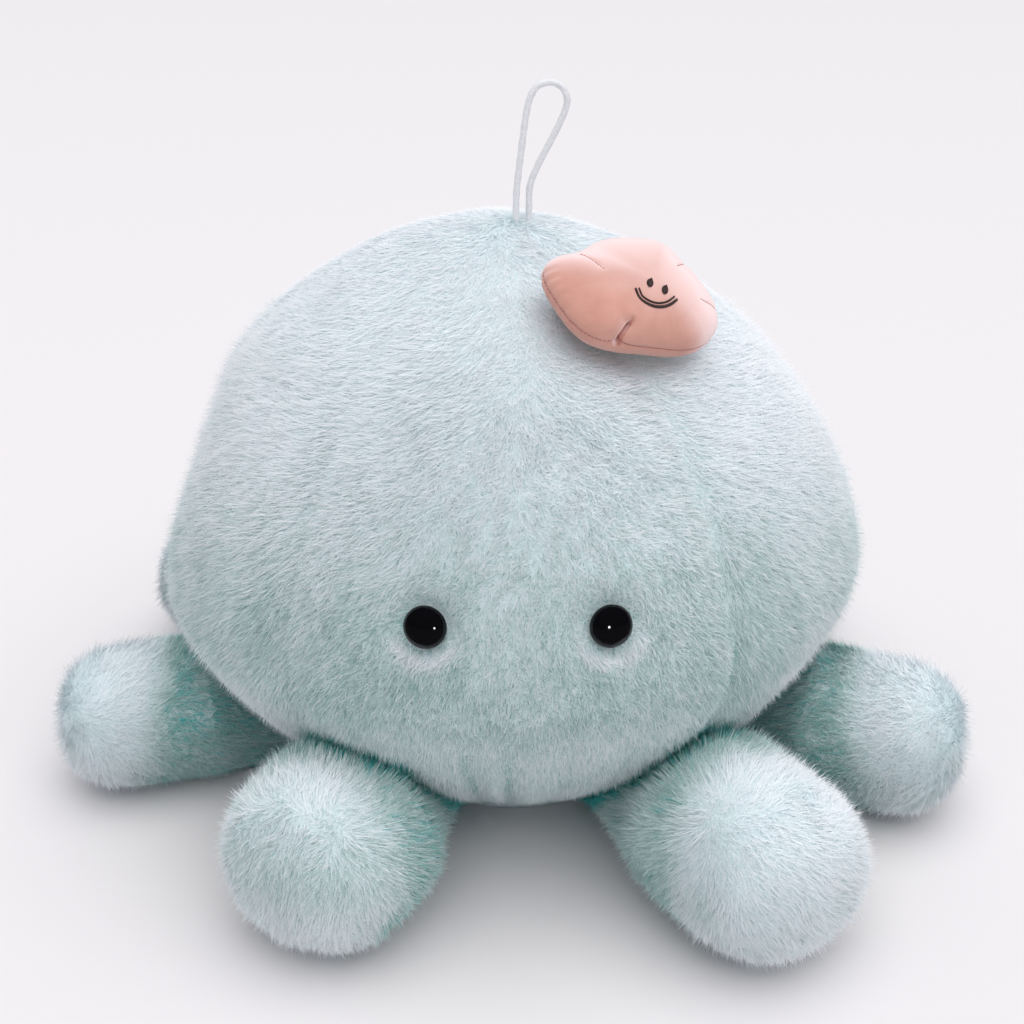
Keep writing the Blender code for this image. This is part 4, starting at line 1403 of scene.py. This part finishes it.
def add_floor():
    """The pale floor, which the glossy eyes see as dark."""
    bm = bmesh.new()
    bmesh.ops.create_grid(bm, x_segments=1, y_segments=1, size=9.0)
    finish = new_material("Pale floor", FLOOR_COLOUR, 0.9)
    tree = finish.node_tree
    path = add_node(tree, "ShaderNodeLightPath")
    stops = ((0.0, FLOOR_COLOUR), (1.0, (0.05, 0.05, 0.05)))
    paint(tree, ramp_node(tree, path.outputs["Is Glossy Ray"], stops).outputs["Color"])
    mesh_object("floor", bm, finish)


def light_the_world():
    """A pale backdrop for the camera, a dimmer room for the light, and a dark one for reflections."""
    world = bpy.data.worlds.new("studio")
    bpy.context.scene.world = world
    world.use_nodes = True
    tree = world.node_tree
    shown = tree.nodes["Background"]
    room = add_node(tree, "ShaderNodeBackground")
    dim = add_node(tree, "ShaderNodeBackground")
    for shader, colour, strength in ((shown, *BACKDROP), (room, *ROOM), (dim, *REFLECTED)):
        shader.inputs["Color"].default_value = (*colour, 1.0)
        shader.inputs["Strength"].default_value = strength
    path = add_node(tree, "ShaderNodeLightPath")
    glossy = add_node(tree, "ShaderNodeMixShader")
    mixed = add_node(tree, "ShaderNodeMixShader")
    choices = ((glossy, "Is Glossy Ray", room, dim), (mixed, "Is Camera Ray", glossy, shown))
    for mix, ray, other, seen in choices:
        tree.links.new(path.outputs[ray], mix.inputs["Fac"])
        tree.links.new(other.outputs[0], mix.inputs[1])
        tree.links.new(seen.outputs[0], mix.inputs[2])
    tree.links.new(mixed.outputs[0], tree.nodes["World Output"].inputs["Surface"])


# The whole toy


def add_eyes(coarse, eyes, plastic):
    """The domes, seated on the pressed skin as in the model."""
    pressed = coarse.copy()
    press_sockets(pressed, eyes)
    for side, (place, outward) in zip(("left", "right"), eyes):
        seat, _ = surface_hit(pressed, place + outward * HEAD_RADIUS, -outward)
        turn = outward.to_track_quat("Z", "Y").to_matrix().to_4x4()
        placing = Matrix.Translation(seat - outward * EYE_SEAT_DEPTH) @ turn
        add_eye("eye_dome_" + side, "eye_" + side, placing, plastic)
    pressed.free()


def finish_washers(washers):
    """The lock washers stay the model's own solids."""
    for node in ("eye_washer_left", "eye_washer_right"):
        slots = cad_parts[node].data.materials
        if len(slots):
            slots[0] = washers
        else:
            slots.append(washers)


def add_ornament(placing, head_tree, velour):
    """The pad, and trees of its skin as it lies on the head and in its own frame."""
    pad = ornament_shell()
    pad_local = BVHTree.FromBMesh(pad)
    bmesh.ops.transform(pad, matrix=placing, verts=pad.verts)
    press_against(pad, head_tree, PAD_GAP)
    face_outwards(pad)
    pad_tree = BVHTree.FromBMesh(pad)
    ornament = add_piece("ornament_velour_pad", pad, velour, "ornament_pad")
    facing = read_rows(ornament.data.vertex_normals, "vector")
    level, uphill = np.array(placing.col[0][:3]), np.array(placing.col[1][:3])
    # Painted light and sheen: the mark is high where the pad faces uphill or to the right, towards the
    # light
    lit_side = np.maximum(facing @ (0.87 * uphill + 0.5 * level), facing @ (1.2 * level) + 0.05)
    mark_points(ornament, "LitSide", smooth_step(-0.25, 0.50, lit_side))
    return pad_tree, pad_local


def add_legs(head_tree, ground):
    """The legs' skins, pressed out of the head's, and a tree of them all."""
    joined = bmesh.new()
    skins = {}
    for name in LEGS:
        leg = leg_shell(name)
        draw_in(leg, 1.1 * PILE_DEPTH, 0.65 * PILE_DEPTH)
        press_against(leg, head_tree, CONTACT_GAP)
        face_outwards(leg)
        skins[name] = add_piece(name + "_skin", leg, ground, name)
        joined.from_mesh(skins[name].data)
    legs_tree = BVHTree.FromBMesh(joined)
    joined.free()
    return skins, legs_tree


def add_base_panel(ground):
    """The round panel under the head, with its rolled edges."""
    soft, hard = PANEL_ROLL
    lower = [(PANEL_RADIUS - soft, 0.0), (PANEL_RADIUS - hard, hard), (PANEL_RADIUS, soft)]
    upper = [(radius, PANEL_THICKNESS - height) for radius, height in lower]
    profile = [(0.0, PANEL_THICKNESS), *upper, *lower[::-1], (0.5 * PANEL_RADIUS, 0.0), (0.0, 0.0)]
    panel = lathe(profile, 120)
    bmesh.ops.translate(panel, verts=panel.verts, vec=(BODY_X, BODY_Y - HEAD_FORWARD, 0.0))
    add_piece("base_panel_skin", panel, ground, "base_panel")


def main():
    add_camera()
    add_floor()
    light_the_world()
    add_lamps()

    group = mottle_group()
    strands = strand_material()
    ground = ground_material(group)
    dark, faded = (0.022, 0.014, 0.014), (0.100, 0.070, 0.068)
    thread, _ = mottled_material("Embroidery thread", group, 1800.0, dark, faded, 0.42)
    dark, faded = (0.26, 0.07, 0.06), (0.52, 0.20, 0.17)
    seam_thread, _ = mottled_material("Seam thread", group, 2200.0, dark, faded, 0.7)
    dark, faded = (0.66, 0.66, 0.64), (0.78, 0.78, 0.76)
    washers, _ = mottled_material("Moulded white plastic", group, 400.0, dark, faded, 0.45)

    coarse = head_shell(*COARSE_HEAD)
    eyes = [eye_axis(coarse, side) for side in (-1.0, 1.0)]
    add_eyes(coarse, eyes, eye_material(group))
    finish_washers(washers)

    fine = head_shell(*FINE_HEAD, fine=True)
    press_sockets(fine, eyes)
    draw_in(fine, PILE_DEPTH, PILE_DEPTH)
    face_outwards(fine)
    head_tree = BVHTree.FromBMesh(fine)
    head = add_piece("head_skin", fine, ground, "head")

    placing = ornament_frame(coarse)
    pad_tree, pad_local = add_ornament(placing, head_tree, velour_material(group))
    for side, middle in zip(("left", "right"), STITCH_EYES):
        add_stitched_eye("satin_eye_" + side, "stitched_eye_" + side, pad_local, placing, middle, thread)
    add_smile(pad_local, placing, thread)
    add_seam_thread(pad_local, placing, seam_thread)

    skins, legs_tree = add_legs(head_tree, ground)
    mark_crease_shade(head, legs_tree)
    head_coat(head, legs_tree, eyes, pad_tree, strands)
    for name, skin in skins.items():
        mark_crease_shade(skin, head_tree)
        leg_coat(name, skin, head_tree, strands)
    add_base_panel(ground)
    add_loop(coarse, cord_material(group))
    coarse.free()

    bpy.context.scene.view_settings.view_transform = "Standard"


main()
